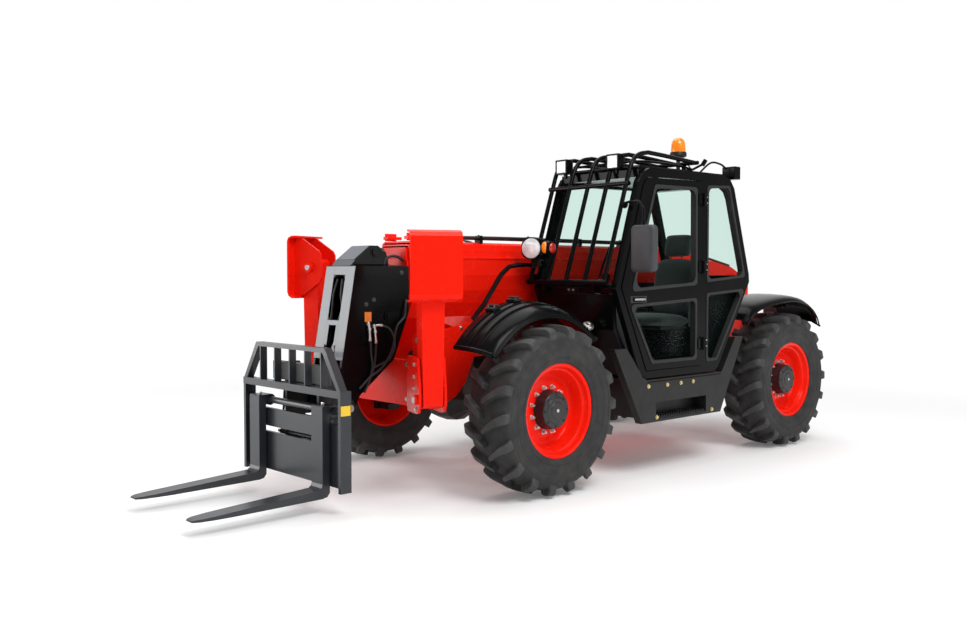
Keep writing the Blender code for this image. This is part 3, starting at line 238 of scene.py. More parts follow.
class Piece:
    """Collects solids of one material into one named object."""

    def __init__(self, name, mat, body, slot, bevel=0.0, smooth=40, seg=2):
        self.name, self.mat, self.body, self.slot = name, mat, body, slot
        self.bm = bmesh.new()
        self.bevel, self.smooth, self.seg = bevel, smooth, seg

    def box(self, lo, hi, m=None, rot=None):
        c = (Vector(lo) + Vector(hi)) / 2
        s = Vector(hi) - Vector(lo)
        r = bmesh.ops.create_cube(self.bm, size=1.0)
        mt = Matrix.Diagonal((*s, 1))
        if rot is not None:
            mt = rot.to_4x4() @ mt
        mt = Matrix.Translation(c) @ mt
        if m is not None:
            mt = m @ mt
        bmesh.ops.transform(self.bm, matrix=mt, verts=r["verts"])
        return r["verts"]

    def cyl(self, p0, p1, r, n=24, r2=None):
        p0, p1 = Vector(p0), Vector(p1)
        d = p1 - p0
        o = bmesh.ops.create_cone(self.bm, cap_ends=True, segments=n, radius1=r, radius2=r if r2 is None else r2, depth=d.length)
        q = d.to_track_quat('Z', 'Y')
        bmesh.ops.transform(self.bm, matrix=Matrix.Translation((p0 + p1) / 2) @ q.to_matrix().to_4x4(), verts=o["verts"])
        return o["verts"]

    def lathe(self, prof, c, d, n=48, closed=False):
        """prof: (radius, height)."""
        q = Vector(d).normalized().to_track_quat('Z', 'Y').to_matrix()
        c = Vector(c)
        rings = []
        for r, h in prof:
            if r < 1e-6:
                rings.append([self.bm.verts.new(c + q @ Vector((0, 0, h)))])
            else:
                rings.append([self.bm.verts.new(c + q @ Vector((r * math.cos(2 * pi * i / n), r * math.sin(2 * pi * i / n), h)))
                              for i in range(n)])
        pairs = list(zip(rings, rings[1:]))
        if closed:
            pairs.append((rings[-1], rings[0]))
        for a, b in pairs:
            for i in range(n):
                j = (i + 1) % n
                if len(a) == 1 and len(b) == 1:
                    continue
                if len(a) == 1:
                    self.bm.faces.new((a[0], b[i], b[j]))
                elif len(b) == 1:
                    self.bm.faces.new((a[i], b[0], a[j]))
                else:
                    self.bm.faces.new((a[i], b[i], b[j], a[j]))

    def tube(self, pts, r, n=12, caps=True, cyclic=False):
        pts = [Vector(p) for p in pts]
        k = len(pts)
        rings = []
        up = None
        for i, p in enumerate(pts):
            if cyclic:
                t = (pts[(i + 1) % k] - pts[i - 1]).normalized()
            else:
                t = (pts[min(i + 1, k - 1)] - pts[max(i - 1, 0)]).normalized()
            if up is None:
                up = t.orthogonal().normalized()
            up = (up - t * up.dot(t)).normalized()
            s = t.cross(up)
            rr = r[i] if isinstance(r, (list, tuple)) else r
            rings.append([self.bm.verts.new(p + (up * math.cos(2 * pi * j / n) + s * math.sin(2 * pi * j / n)) * rr) for j in range(n)])
        for a, b in list(zip(rings, rings[1:])) + ([(rings[-1], rings[0])] if cyclic else []):
            for j in range(n):
                self.bm.faces.new((a[j], a[(j + 1) % n], b[(j + 1) % n], b[j]))
        if caps and not cyclic:
            self.bm.faces.new(list(reversed(rings[0])))
            self.bm.faces.new(rings[-1])

    def prism(self, outline, axis, a0, a1):
        """outline (y,z) for axis X, (x,z) for Y, (x,y) for Z; Y already in part frame via P()."""
        def pt(u, v, a):
            return {'X': (a, u, v), 'Y': (u, a, v), 'Z': (u, v, a)}[axis]
        lo = [self.bm.verts.new(pt(u, v, a0)) for u, v in outline]
        hi = [self.bm.verts.new(pt(u, v, a1)) for u, v in outline]
        n = len(outline)
        self.bm.faces.new(lo)
        self.bm.faces.new(list(reversed(hi)))
        for i in range(n):
            self.bm.faces.new((lo[i], hi[i], hi[(i + 1) % n], lo[(i + 1) % n]))

    def loft(self, sections, close_ends=True):
        rings = [[self.bm.verts.new(p) for p in s] for s in sections]
        n = len(rings[0])
        for a, b in zip(rings, rings[1:]):
            for j in range(n):
                self.bm.faces.new((a[j], a[(j + 1) % n], b[(j + 1) % n], b[j]))
        if close_ends:
            self.bm.faces.new(list(reversed(rings[0])))
            self.bm.faces.new(rings[-1])

    def bolt(self, p, d, r=0.012, h=0.008, washer=True):
        p, d = Vector(p), Vector(d).normalized()
        if washer:
            self.cyl(p, p + d * 0.0025, r * 1.35, 16)
        self.cyl(p + d * 0.0024, p + d * h, r, 6)

    def done(self, replaces=(), subsurf=0):
        bmesh.ops.recalc_face_normals(self.bm, faces=self.bm.faces)
        me = bpy.data.meshes.new(self.name)
        self.bm.to_mesh(me)
        self.bm.free()
        o = bpy.data.objects.new(self.name, me)
        COL.objects.link(o)
        me.materials.append(M[self.mat])
        if self.bevel:
            b = o.modifiers.new("Bevel", 'BEVEL')
            b.width = self.bevel
            b.segments = self.seg
            b.limit_method = 'ANGLE'
            b.angle_limit = rad(35)
            b.harden_normals = False
        if subsurf:
            s = o.modifiers.new("Sub", 'SUBSURF')
            s.levels = s.render_levels = subsurf
        me.shade_smooth()
        me.set_sharp_from_angle(angle=rad(self.smooth))
        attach(o, self.body)
        if replaces:
            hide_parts(*replaces)
        return o


def bez(pts, n=24):
    """Smooth Catmull-Rom route through points."""
    pts = [Vector(p) for p in pts]
    ext = [pts[0] * 2 - pts[1]] + pts + [pts[-1] * 2 - pts[-2]]
    out = []
    for i in range(1, len(ext) - 2):
        p0, p1, p2, p3 = ext[i - 1:i + 3]
        for k in range(n):
            t = k / n
            out.append(0.5 * ((2 * p1) + (p2 - p0) * t + (2 * p0 - 5 * p1 + 4 * p2 - p3) * t * t + (3 * p1 - p0 - 3 * p2 + p3) * t ** 3))
    out.append(pts[-1])
    return out


# ================================================================ CAD nodes: materials, softened edges
nodes = frame["nodes"]


def cadobj(n):
    v = nodes[n]
    return v if hasattr(v, "data") else bpy.data.objects[n if isinstance(v, str) is False else v]


def cad(names, mat, bevel=0.0, seg=2, smooth=35):
    for n in names:
        o = bpy.data.objects.get(n) or cadobj(n)
        o.data.materials.clear()
        o.data.materials.append(M[mat])
        if bevel:
            b = o.modifiers.new("Bevel", 'BEVEL')
            b.width = bevel
            b.segments = seg
            b.limit_method = 'ANGLE'
            b.angle_limit = rad(30)
            b.use_clamp_overlap = True
        for p in o.data.polygons:
            p.use_smooth = True
        o.data.set_sharp_from_angle(angle=rad(smooth))


cad(["boom_outer", "boom_mid", "boom_inner"], "red", 0.004)
cad(["chassis_frame", "front_bulkhead"], "red", 0.003)
cad(["engine_hood"], "red", 0.006)
cad(["stabilizer_arm_left", "stabilizer_arm_right"], "red", 0.008, 3)
cad(["stabilizer_foot_left", "stabilizer_foot_right"], "red", 0.003)
cad(["cab_frame", "door_frame"], "black", 0.006, 3)
cad(["cab_base", "cab_roof"], "black", 0.006)
cad(["engine_bay", "counterweight", "step_panel"], "blacksat", 0.005)
cad(["front_axle", "rear_axle", "front_left_knuckle", "front_right_knuckle", "rear_left_knuckle", "rear_right_knuckle"], "blacksat", 0.004)
cad(["boom_nose"], "black", 0.004)
cad(["coupler"], "blacksat", 0.003)
cad(["fork_carriage", "fork_left", "fork_right"], "grey", 0.003)
cad(["windshield_guard"], "black")
cad(["engine_block"], "iron", 0.01)
cad(["steering_console"], "plastic", 0.003)
cad(["windshield", "rear_glass", "right_glass", "quarter_glass", "door_glass"], "glass")
cad(["lift_cylinder_barrel", "tilt_cylinder_barrel"], "blacksat", 0.002)
cad(["lift_cylinder_rod", "tilt_cylinder_rod"], "chrome", 0.0015)
cad(["rear_left_fender", "rear_right_fender", "front_left_fender", "front_right_fender"], "black", 0.003)
cad(["mirror_left", "mirror_right"], "plastic", 0.004)
cad(["headlamp_left", "headlamp_right"], "black", 0.002)
cad(["beacon"], "amber")
for n in ("front_left_rim", "front_right_rim", "rear_left_rim", "rear_right_rim"):
    cad([n], "red")
for n in ("front_left_tyre", "front_right_tyre", "rear_left_tyre", "rear_right_tyre"):
    cad([n], "rubber")
cad(["seat"], "fabric")

HUB_Z, AX, WX, TR = 0.595, 1.5, 0.98, 0.595


# ================================================================ tyres
def tyre(name, c, side, node, body, steps=18):
    """c centre; chevron lugs, ending in a block at each shoulder."""
    p = Piece(name, "rubber", body, "tyre", bevel=0.0035, seg=2, smooth=50)
    prof = [(0.330, -0.172), (0.338, -0.180), (0.352, -0.181), (0.362, -0.188), (0.400, -0.1955), (0.455, -0.1985), (0.500, -0.1955),
            (0.524, -0.183), (0.538, -0.160), (0.546, -0.11), (0.549, 0.0)]
    prof = prof + [(r, -h) for r, h in reversed(prof[:-1])]
    p.lathe(prof, c, (1, 0, 0), 96)
    p.lathe([(0.330, 0.172), (0.330, -0.172)], c, (1, 0, 0), 96)
    for s in (-1, 1):
        for r, hh in ((0.372, 0.1905), (0.432, 0.1975), (0.488, 0.1965)):
            p.lathe([(r - 0.004, s * (hh - 0.003)), (r - 0.0015, s * (hh + 0.0018)),
                     (r + 0.0015, s * (hh + 0.0018)), (r + 0.004, s * (hh - 0.003))], c, (1, 0, 0), 96)
    p.done(replaces=(node,))
    p = Piece(name + "_lugs", "lug", body, "tyre", bevel=0.0035, seg=2, smooth=50)
    # station: height from the mid plane, turn along the tread, outer radius, root radius, half width
    st = [(0.006, 0.000, 0.5945, 0.540, 0.015), (0.050, 0.050, 0.5945, 0.540, 0.020), (0.095, 0.098, 0.592, 0.538, 0.023),
          (0.135, 0.134, 0.588, 0.534, 0.026), (0.165, 0.156, 0.582, 0.528, 0.029), (0.186, 0.166, 0.572, 0.515, 0.031),
          (0.196, 0.170, 0.558, 0.505, 0.031), (0.1985, 0.172, 0.532, 0.498, 0.029), (0.1975, 0.173, 0.512, 0.490, 0.026)]
    for s in (-1, 1):
        for k in range(steps):
            a0 = 2 * pi * (k + (0.5 if s > 0 else 0.0)) / steps
            secs = []
            for i, (h, sweep, ro, rb, w) in enumerate(st):
                wb = w + 0.009
                am = a0 + sweep * SWEEP
                hb = h if i < 5 else (0.176, 0.180, 0.183, 0.186)[i - 5]
                q = [(ro, am - w / ro, h), (ro, am + w / ro, h), (rb, am + wb / rb, hb), (rb, am - wb / rb, hb)]
                secs.append([Vector((c[0] + s * hh, c[1] + rr * math.cos(aa), c[2] + rr * math.sin(aa))) for rr, aa, hh in q])
            if s < 0:
                secs = [list(reversed(x)) for x in secs]
            p.loft(secs)
    return p.done()


SWEEP = -1.0
for e, sy in (("front", -1), ("rear", 1)):
    for s, sx in (("left", 1), ("right", -1)):
        tyre(f"{e}_{s}_tyre_tread", P(sx * WX, sy * AX, HUB_Z), sx, f"{e}_{s}_tyre", f"{e}_{s}_wheel")


# ================================================================ rims and hubs
def rim(e, s, sx, sy):
    c = P(sx * WX, sy * AX, HUB_Z)
    d = (sx, 0, 0)
    b = f"{e}_{s}_wheel"
    p = Piece(f"{e}_{s}_rim_disc", "red", b, "body_red", smooth=32)
    prof = [(0.120, 0.050), (0.175, 0.050), (0.205, 0.044), (0.222, 0.036), (0.240, 0.036), (0.252, 0.046), (0.262, 0.075),
            (0.272, 0.110), (0.280, 0.124), (0.292, 0.128), (0.300, 0.140), (0.306, 0.160), (0.316, 0.1655), (0.326, 0.168), (0.3318, 0.166),
            (0.3318, 0.155), (0.322, 0.120), (0.315, 0.02), (0.315, -0.10), (0.3318, -0.160), (0.3318, -0.168), (0.316, -0.1655),
            (0.308, -0.15), (0.285, -0.06), (0.255, 0.0), (0.20, 0.022), (0.120, 0.022)]
    p.lathe(prof, c, d, 96, closed=True)
    p.done(replaces=(f"{e}_{s}_rim",))
    h = Piece(f"{e}_{s}_hub_drum", "hub", b, "black_paint", bevel=0.002, smooth=35)
    h.lathe([(0.0, 0.149), (0.055, 0.149), (0.060, 0.144), (0.088, 0.144), (0.094, 0.139), (0.122, 0.137), (0.128, 0.130), (0.129, 0.095),
             (0.134, 0.085), (0.134, 0.062), (0.140, 0.0505), (0.0, 0.0505)], c, d, 64)
    q = Vector(d).to_track_quat('Z', 'Y').to_matrix()
    for i in range(8):
        a = 2 * pi * i / 8
        o = c + q @ Vector((0.108 * math.cos(a), 0.108 * math.sin(a), 0.138))
        h.bolt(o, d, 0.0075, 0.008, False)
    h.done()
    n = Piece(f"{e}_{s}_wheel_nuts", "steel", b, "chrome", bevel=0.001, smooth=35)
    for i in range(12):
        a = 2 * pi * (i + 0.5) / 12
        o = c + q @ Vector((0.160 * math.cos(a), 0.160 * math.sin(a), 0.0505))
        n.cyl(o, o + Vector(d) * 0.003, 0.017, 18)
        n.cyl(o + Vector(d) * 0.0029, o + Vector(d) * 0.021, 0.0125, 6)
        n.cyl(o + Vector(d) * 0.02, o + Vector(d) * 0.031, 0.0068, 12)
    n.cyl(c + Vector(d) * 0.1485, c + Vector(d) * 0.1545, 0.013, 6)
    n.done()


for e, sy in (("front", -1), ("rear", 1)):
    for s, sx in (("left", 1), ("right", -1)):
        rim(e, s, sx, sy)

# ================================================================ fenders
def ribbed_fender(name, sx, node, body):
    """Front fender: four broad flats with three grooves, thick front lip, rolled outer edge."""
    p = Piece(name, "black", body, "black_paint", bevel=0.0015, seg=2, smooth=28)
    xs0 = [(0.735, 0.752), (0.80, 0.748), (0.90, 0.737), (0.99, 0.712), (1.045, 0.682)]

    def base(x):
        for (x0, r0), (x1, r1) in zip(xs0, xs0[1:]):
            if x <= x1:
                return r0 + (r1 - r0) * (x - x0) / (x1 - x0)
        return xs0[-1][1]
    prof = [(0.735, 0.0)]
    for g in (0.806, 0.876, 0.948):
        prof += [(g - 0.021, 0.0), (g - 0.015, 0.003), (g - 0.0085, -0.013), (g + 0.0085, -0.013), (g + 0.015, 0.003), (g + 0.021, 0.0)]
    prof += [(0.985, 0.0), (1.012, -0.002), (1.034, -0.002)]
    outer = [(x, base(x) + d + 0.002) for x, d in prof] + [(1.050, base(1.045) - 0.012), (1.054, base(1.045) - 0.040), (1.046, base(1.045) - 0.044)]
    inner = [(1.036, base(1.036) - 0.018), (0.985, base(0.985) - 0.0165), (0.90, base(0.90) - 0.0165), (0.80, base(0.80) - 0.0165),
             (0.735, base(0.735) - 0.0165)]
    loop = outer + inner
    secs = []
    n = 44
    a_lo, a_hi = 44.0, 143.0
    for i in range(n + 1):
        a = rad(a_hi - (a_hi - a_lo) * i / n)
        secs.append([P(sx * x, -1.5 + r * math.cos(a), HUB_Z + r * math.sin(a)) for x, r in loop])
    p.loft(secs)
    # lips at both ends
    for ang, o in ((143.0, 1), (44.0, -1)):
        a = rad(ang)
        pts = []
        for x, r in outer[:-2]:
            rr = base(min(x, 1.045)) - 0.008
            pts.append(P(sx * x, -1.5 + rr * math.cos(a), HUB_Z + rr * math.sin(a)))
        p.tube(pts, 0.0175, 12)
    # outer bead
    pts = []
    for i in range(n + 1):
        a = rad(a_hi - (a_hi - a_lo) * i / n)
        rr = base(1.045) - 0.041
        pts.append(P(sx * 1.051, -1.5 + rr * math.cos(a), HUB_Z + rr * math.sin(a)))
    p.tube(pts, 0.0075, 8)
    p.done(replaces=(node,))
    q = Piece(name + "_bracket", "blacksat", body, "black_paint", bevel=0.002)
    q.box(P(*((sx * 0.739, -1.545, HUB_Z + 0.181) if sx > 0 else (-0.761, -1.545, HUB_Z + 0.181))),
          P(*((0.761, -1.455, HUB_Z + 0.738) if sx > 0 else (-0.739, -1.455, HUB_Z + 0.738))))
    for a in (112, 96):
        a = rad(a)
        r = 0.762
        c = P(sx * 0.775, -1.5 + r * math.cos(a), HUB_Z + r * math.sin(a))
        q.box(c - Vector((0.045, 0.035, 0.008)), c + Vector((0.045, 0.035, 0.010)), rot=Matrix.Rotation(a - pi / 2, 3, 'X'))
        q.cyl(c + Vector((-0.045, 0, 0.014)), c + Vector((0.045, 0, 0.014)), 0.012, 12)
    q.done()
    b = Piece(name + "_bolts", "steel", body, "chrome", bevel=0.0008)
    for a in (112, 96):
        a = rad(a)
        for dx in (-0.03, 0.03):
            c = P(sx * 0.775 + dx, -1.5 + 0.772 * math.cos(a), HUB_Z + 0.772 * math.sin(a))
            b.bolt(c, (0, math.cos(a), math.sin(a)), 0.009, 0.010)
    b.done()


ribbed_fender("front_left_mudguard", 1, "front_left_fender", "front_left_knuckle")
ribbed_fender("front_right_mudguard", -1, "front_right_fender", "front_right_knuckle")


def rear_fender(name, sx, node):
    p = Piece(name, "black", "chassis", "black_paint", smooth=35)
    line = bez([(0, 0.795, 1.155), (0, 0.86, 1.215), (0, 0.98, 1.275), (0, 1.23, 1.322), (0, 1.50, 1.345), (0, 1.70, 1.325),
                (0, 1.86, 1.262), (0, 1.95, 1.185), (0, 1.995, 1.105)], 5)
    cross = [(0.742, 0.010), (0.80, 0.0125), (0.90, 0.011), (1.00, 0.006), (1.07, -0.002), (1.118, -0.013), (1.146, -0.030), (1.158, -0.052),
             (1.150, -0.056), (1.138, -0.040), (1.112, -0.027), (1.07, -0.017), (1.00, -0.009), (0.90, -0.004), (0.80, -0.0035), (0.742, -0.005)]
    secs = []
    k = len(line)
    for i, v in enumerate(line):
        t = (line[min(i + 1, k - 1)] - line[max(i - 1, 0)]).normalized()
        nrm = Vector((0, -t.z, t.y))
        secs.append([P(sx * x, v.y, v.z) + nrm * d for x, d in cross])
    p.loft(secs)
    pts = [P(sx * 1.152, v.y, v.z) + Vector((0, 0, -0.050)) for v in line]
    p.tube(pts, 0.0065, 8)
    p.tube([P(sx * 1.158, 1.995, 1.055), P(sx * 1.07, 1.995, 1.10), P(sx * 0.90, 1.9935, 1.112), P(sx * 0.745, 1.9935, 1.112)], 0.009, 8)
    p.done(replaces=(node,))
    q = Piece(name + "_stay", "blacksat", "chassis", "black_paint", bevel=0.002)
    q.cyl(P(sx * 0.276, 1.80, 1.245), P(sx * 0.90, 1.80, 1.245), 0.022, 20)
    q.box(P(min(sx * 0.80, sx * 0.90), 1.77, 1.225), P(max(sx * 0.80, sx * 0.90), 1.83, 1.283))
    q.done()


rear_fender("rear_left_mudguard", 1, "rear_left_fender")
rear_fender("rear_right_mudguard", -1, "rear_right_fender")


# ================================================================ lamps
def ellip(p, c, r, a0=-90, a1=90, axis='Y', sign=-1, n=28, m=9):
    """Half ellipsoid bulging along sign*axis from its flat at c."""
    c = Vector(c)
    rings = []
    for i in range(m):
        t = pi / 2 * i / m
        rings.append((math.cos(t), math.sin(t)))
    vs = []
    for ct, st_ in rings:
        row = []
        for j in range(n):
            u = 2 * pi * j / n
            if axis == 'Y':
                row.append(p.bm.verts.new(c + Vector((r[0] * ct * math.cos(u), sign * r[1] * st_, r[2] * ct * math.sin(u)))))
            else:
                row.append(p.bm.verts.new(c + Vector((sign * r[0] * st_, r[1] * ct * math.cos(u), r[2] * ct * math.sin(u)))))
        vs.append(row)
    if axis == 'Y':
        tip = p.bm.verts.new(c + Vector((0, sign * r[1], 0)))
    else:
        tip = p.bm.verts.new(c + Vector((sign * r[0], 0, 0)))
    for a, b in zip(vs, vs[1:]):
        for j in range(n):
            p.bm.faces.new((a[j], a[(j + 1) % n], b[(j + 1) % n], b[j]))
    for j in range(n):
        p.bm.faces.new((vs[-1][j], vs[-1][(j + 1) % n], tip))
    p.bm.faces.new(list(reversed(vs[0])))


for sx, s in ((1, "left"), (-1, "right")):
    h = Piece(f"headlamp_{s}_shell", "black", "chassis", "black_paint", smooth=45)
    secs = []
    for y, k in ((-0.885, 0.35), (-0.905, 0.62), (-0.945, 0.86), (-0.99, 0.97), (-1.03, 1.0), (-1.046, 0.985), (-1.048, 0.95), (-1.040, 0.93)):
        secs.append([P(sx * (0.412 + 0.016 * (1 - k) + 0.108 * k * math.copysign(abs(math.cos(t)) ** 0.8, math.cos(t))), y,
                       1.735 + 0.086 * k * math.copysign(abs(math.sin(t)) ** 0.8, math.sin(t))) for t in [2 * pi * j / 32 for j in range(32)]])
    h.loft(secs)
    # side pod carrying the turn and marker lenses
    secs = []
    for x, k in ((0.49, 0.80), (0.53, 0.95), (0.556, 0.90), (0.566, 0.74)):
        secs.append([P(sx * x, -0.975 + 0.062 * k * math.cos(t), 1.735 + 0.060 * k * math.sin(t)) for t in [2 * pi * j / 24 for j in range(24)]])
    h.loft(secs)
    h.done()
    j = Piece(f"headlamp_{s}_stalk", "blacksat", "chassis", "black_paint", bevel=0.0015)
    j.cyl(P(sx * 0.43, -0.975, 1.60), P(sx * 0.43, -0.975, 1.70), 0.015, 16)
    j.box(P(min(sx * 0.40, sx * 0.46), -1.00, 1.635), P(max(sx * 0.40, sx * 0.46), -0.95, 1.665))
    j.cyl(P(sx * 0.3515, -0.975, 1.607), P(sx * 0.45, -0.975, 1.607), 0.013, 14)
    j.cyl(P(sx * 0.375, -0.975, 1.607), P(sx * 0.395, -0.975, 1.607), 0.026, 18)
    j.done()
    l = Piece(f"headlamp_{s}_lens", "white", "chassis", "glass", smooth=60)
    ellip(l, P(sx * 0.410, -1.041, 1.735), (0.100, 0.020, 0.078))
    l.done()
    a = Piece(f"turn_lamp_{s}_lens", "amber", "chassis", "amber_lens", smooth=60)
    ellip(a, P(sx * 0.532, -1.015, 1.738), (0.030, 0.028, 0.044))
    a.done()
    r = Piece(f"marker_lamp_{s}_lens", "redlens", "chassis", "amber_lens", smooth=60)
    ellip(r, P(sx * 0.560, -0.965, 1.735), (0.022, 0.038, 0.042), axis='X', sign=sx)
    r.done()

# roof work lamps: lens, bezel, bracket
wl_ = Piece("roof_lamp_lenses", "white", "chassis", "glass", bevel=0.004)
wb_ = Piece("roof_lamp_housings", "black", "chassis", "black_paint", bevel=0.005)
for x in (0.350, 0.880):
    wl_.box(P(x - 0.0475, -0.644, 2.343), P(x + 0.0475, -0.630, 2.437))
    for lo, hi in (((x - 0.062, -0.6455, 2.437), (x + 0.062, -0.575, 2.449)), ((x - 0.062, -0.6455, 2.331), (x + 0.062, -0.575, 2.343)),
                   ((x - 0.062, -0.6455, 2.333), (x - 0.0475, -0.575, 2.447)), ((x + 0.0475, -0.6455, 2.333), (x + 0.062, -0.575, 2.447))):
        wb_.box(P(*lo), P(*hi))
    wb_.box(P(x - 0.05, -0.576, 2.345), P(x + 0.05, -0.553, 2.435))
    wb_.box(P(x - 0.014, -0.60, 2.30), P(x + 0.014, -0.575, 2.34))
wl_.done(); wb_.done()
rl = Piece("rear_work_lamp_lens", "glass", "chassis", "glass", bevel=0.004)
rl.box(P(0.998, 0.744, 2.342), P(1.088, 0.750, 2.418))
rl.done()
rh = Piece("rear_work_lamp_housing", "black", "chassis", "black_paint", bevel=0.008, seg=3)
rh.box(P(0.978, 0.662, 2.326), P(1.108, 0.744, 2.434))
rh.cyl(P(1.02, 0.66, 2.345), P(1.0, 0.60, 2.345), 0.012, 12)
rh.done()

# beacon: dome, socket, stalk
d = Piece("beacon_dome", "amber", "chassis", "amber_lens", smooth=60)
d.lathe([(0.0, 2.689), (0.022, 2.686), (0.042, 2.675), (0.054, 2.655), (0.0595, 2.63), (0.0635, 2.566), (0.0, 2.566)], P(0.70, 0.43, 0), (0, 0, 1), 40)
d.done(replaces=("beacon",))
d = Piece("beacon_reflector", "redlens", "chassis", "amber_lens", smooth=60)
d.lathe([(0.0, 2.655), (0.024, 2.650), (0.034, 2.63), (0.036, 2.59), (0.0, 2.568)], P(0.70, 0.43, 0), (0, 0, 1), 24)
d.done()
d = Piece("beacon_base", "blacksat", "chassis", "black_paint", smooth=35)
d.lathe([(0.0, 2.5655), (0.066, 2.5655), (0.0705, 2.556), (0.0705, 2.530), (0.055, 2.522), (0.030, 2.518), (0.017, 2.505), (0.017, 2.3632), (0.0, 2.3632)],
        P(0.70, 0.43, 0), (0, 0, 1), 40)
d.lathe([(0.0, 2.395), (0.034, 2.395), (0.034, 2.380), (0.0, 2.380)], P(0.70, 0.43, 0), (0, 0, 1), 24)
d.done()

# roof rails and fittings
rr_ = Piece("roof_fittings", "black", "chassis", "black_paint", bevel=0.002)
for x in (0.36, 0.65, 0.94):
    rr_.tube(bez([P(x, -0.50, 2.395), P(x, -0.30, 2.412), P(x, 0.10, 2.410), P(x, 0.30, 2.392)], 8), 0.010, 10)
rr_.tube([P(0.36, 0.30, 2.392), P(0.94, 0.30, 2.392)], 0.010, 10)
rr_.tube([P(0.36, -0.50, 2.395), P(0.94, -0.50, 2.395)], 0.010, 10)
for x in (0.36, 0.94):
    for y, z in ((-0.48, 2.395), (0.28, 2.392)):
        rr_.cyl(P(x, y, 2.3625), P(x, y, z), 0.012, 12)
rr_.tube(bez([P(0.72, 0.42, 2.52), P(0.76, 0.47, 2.47), P(0.80, 0.49, 2.40), P(0.80, 0.47, 2.3640)], 8), 0.006, 8)
rr_.tube(bez([P(0.90, 0.44, 2.37), P(0.96, 0.52, 2.46), P(1.00, 0.60, 2.455), P(1.02, 0.66, 2.42)], 8), 0.0085, 10)
rr_.cyl(P(0.94, 0.30, 2.392), P(1.01, 0.36, 2.44), 0.010, 12)
rr_.cyl(P(1.0, 0.35, 2.425), P(1.02, 0.37, 2.47), 0.018, 14)
rr_.done()

# fuel filler
f = Piece("fuel_filler_cap", "steel", "chassis", "chrome", bevel=0.001, smooth=35)
ax_f = Vector((0.55, -0.25, 0.80)).normalized()
c_f = P(0.872, -0.905, 1.140)
f.lathe([(0.0, -0.004), (0.036, -0.004), (0.040, 0.002), (0.040, 0.020), (0.036, 0.027), (0.020, 0.030), (0.018, 0.042), (0.013, 0.047), (0.0, 0.048)], c_f, ax_f, 32)
qf = ax_f.to_track_quat('Z', 'Y').to_matrix()
for i in range(14):
    t = 2 * pi * i / 14
    o = c_f + qf @ Vector((0.040 * math.cos(t), 0.040 * math.sin(t), 0.003))
    f.cyl(o, o + ax_f * 0.016, 0.0045, 8)
f.done()
f = Piece("fuel_filler_neck", "blacksat", "chassis", "black_paint", smooth=35)
f.lathe([(0.0, -0.0045), (0.032, -0.0045), (0.032, -0.10), (0.026, -0.24), (0.0, -0.24)], c_f, ax_f, 24)
f.done()

# ================================================================ cab trim
def ringline(pts, x, n=4):
    return [P(x, y, z) for y, z in pts]


def offset_loop(loop, d):
    k = len(loop)
    area = sum(loop[i][0] * loop[(i + 1) % k][1] - loop[(i + 1) % k][0] * loop[i][1] for i in range(k))
    sg = 1.0 if area > 0 else -1.0
    out = []
    for i in range(k):
        p, a, b = Vector(loop[i]), Vector(loop[i - 1]), Vector(loop[(i + 1) % k])
        e1, e2 = (p - a).normalized(), (b - p).normalized()
        n1, n2 = Vector((-e1.y, e1.x)) * sg, Vector((-e2.y, e2.x)) * sg
        v = n1 + n2
        v = v / max(1e-6, v.dot(n1))
        q_ = p + v * d
        out.append((q_.x, q_.y))
    return out


def rounded(loop, r, m_=5):
    """Outline with its corners rounded, m_+1 points a corner."""
    out = []
    k = len(loop)
    for i in range(k):
        p_, a, b = Vector(loop[i]), Vector(loop[i - 1]), Vector(loop[(i + 1) % k])
        u, v = (a - p_), (b - p_)
        lu, lv = u.length, v.length
        u.normalize(); v.normalize()
        half = math.acos(max(-1, min(1, u.dot(v)))) / 2
        rr = min(r, 0.46 * min(lu, lv) * math.tan(half))
        t_ = rr / math.tan(half)
        c = p_ + (u + v).normalized() * (rr / math.sin(half))
        s0, s1 = p_ + u * t_ - c, p_ + v * t_ - c
        for j in range(m_ + 1):
            f_ = j / m_
            w_ = s0.lerp(s1, f_)
            w_ = w_.normalized() * rr if w_.length > 1e-9 else w_
            out.append(tuple(c + w_))
    return out


def corner_band(p, loop, d_out, r_out, d_in, r_in, x0, x1):
    """Band from the sharp cornered opening to a rounded daylight edge."""
    a = rounded(offset_loop(loop, d_out), r_out)
    b = rounded(offset_loop(loop, d_in), r_in)
    k = len(a)
    rows = [[p.bm.verts.new(P(x, *v)) for v in lp] for x, lp in ((x0, a), (x1, a), (x1, b), (x0, b))]
    rows.append(rows[0])
    for r0, r1 in zip(rows, rows[1:]):
        for i in range(k):
            p.bm.faces.new((r0[i], r0[(i + 1) % k], r1[(i + 1) % k], r1[i]))


def frame_strip(p, loop, d0, d1, x0, x1):
    """Closed band between two offsets of an outline."""
    a, b = offset_loop(loop, d0), offset_loop(loop, d1)
    k = len(loop)
    rows = [[p.bm.verts.new(P(x, *v)) for v in lp] for x, lp in ((x0, a), (x1, a), (x1, b), (x0, b))]
    rows.append(rows[0])
    for r0, r1 in zip(rows, rows[1:]):
        for i in range(k):
            p.bm.faces.new((r0[i], r0[(i + 1) % k], r1[(i + 1) % k], r1[i]))


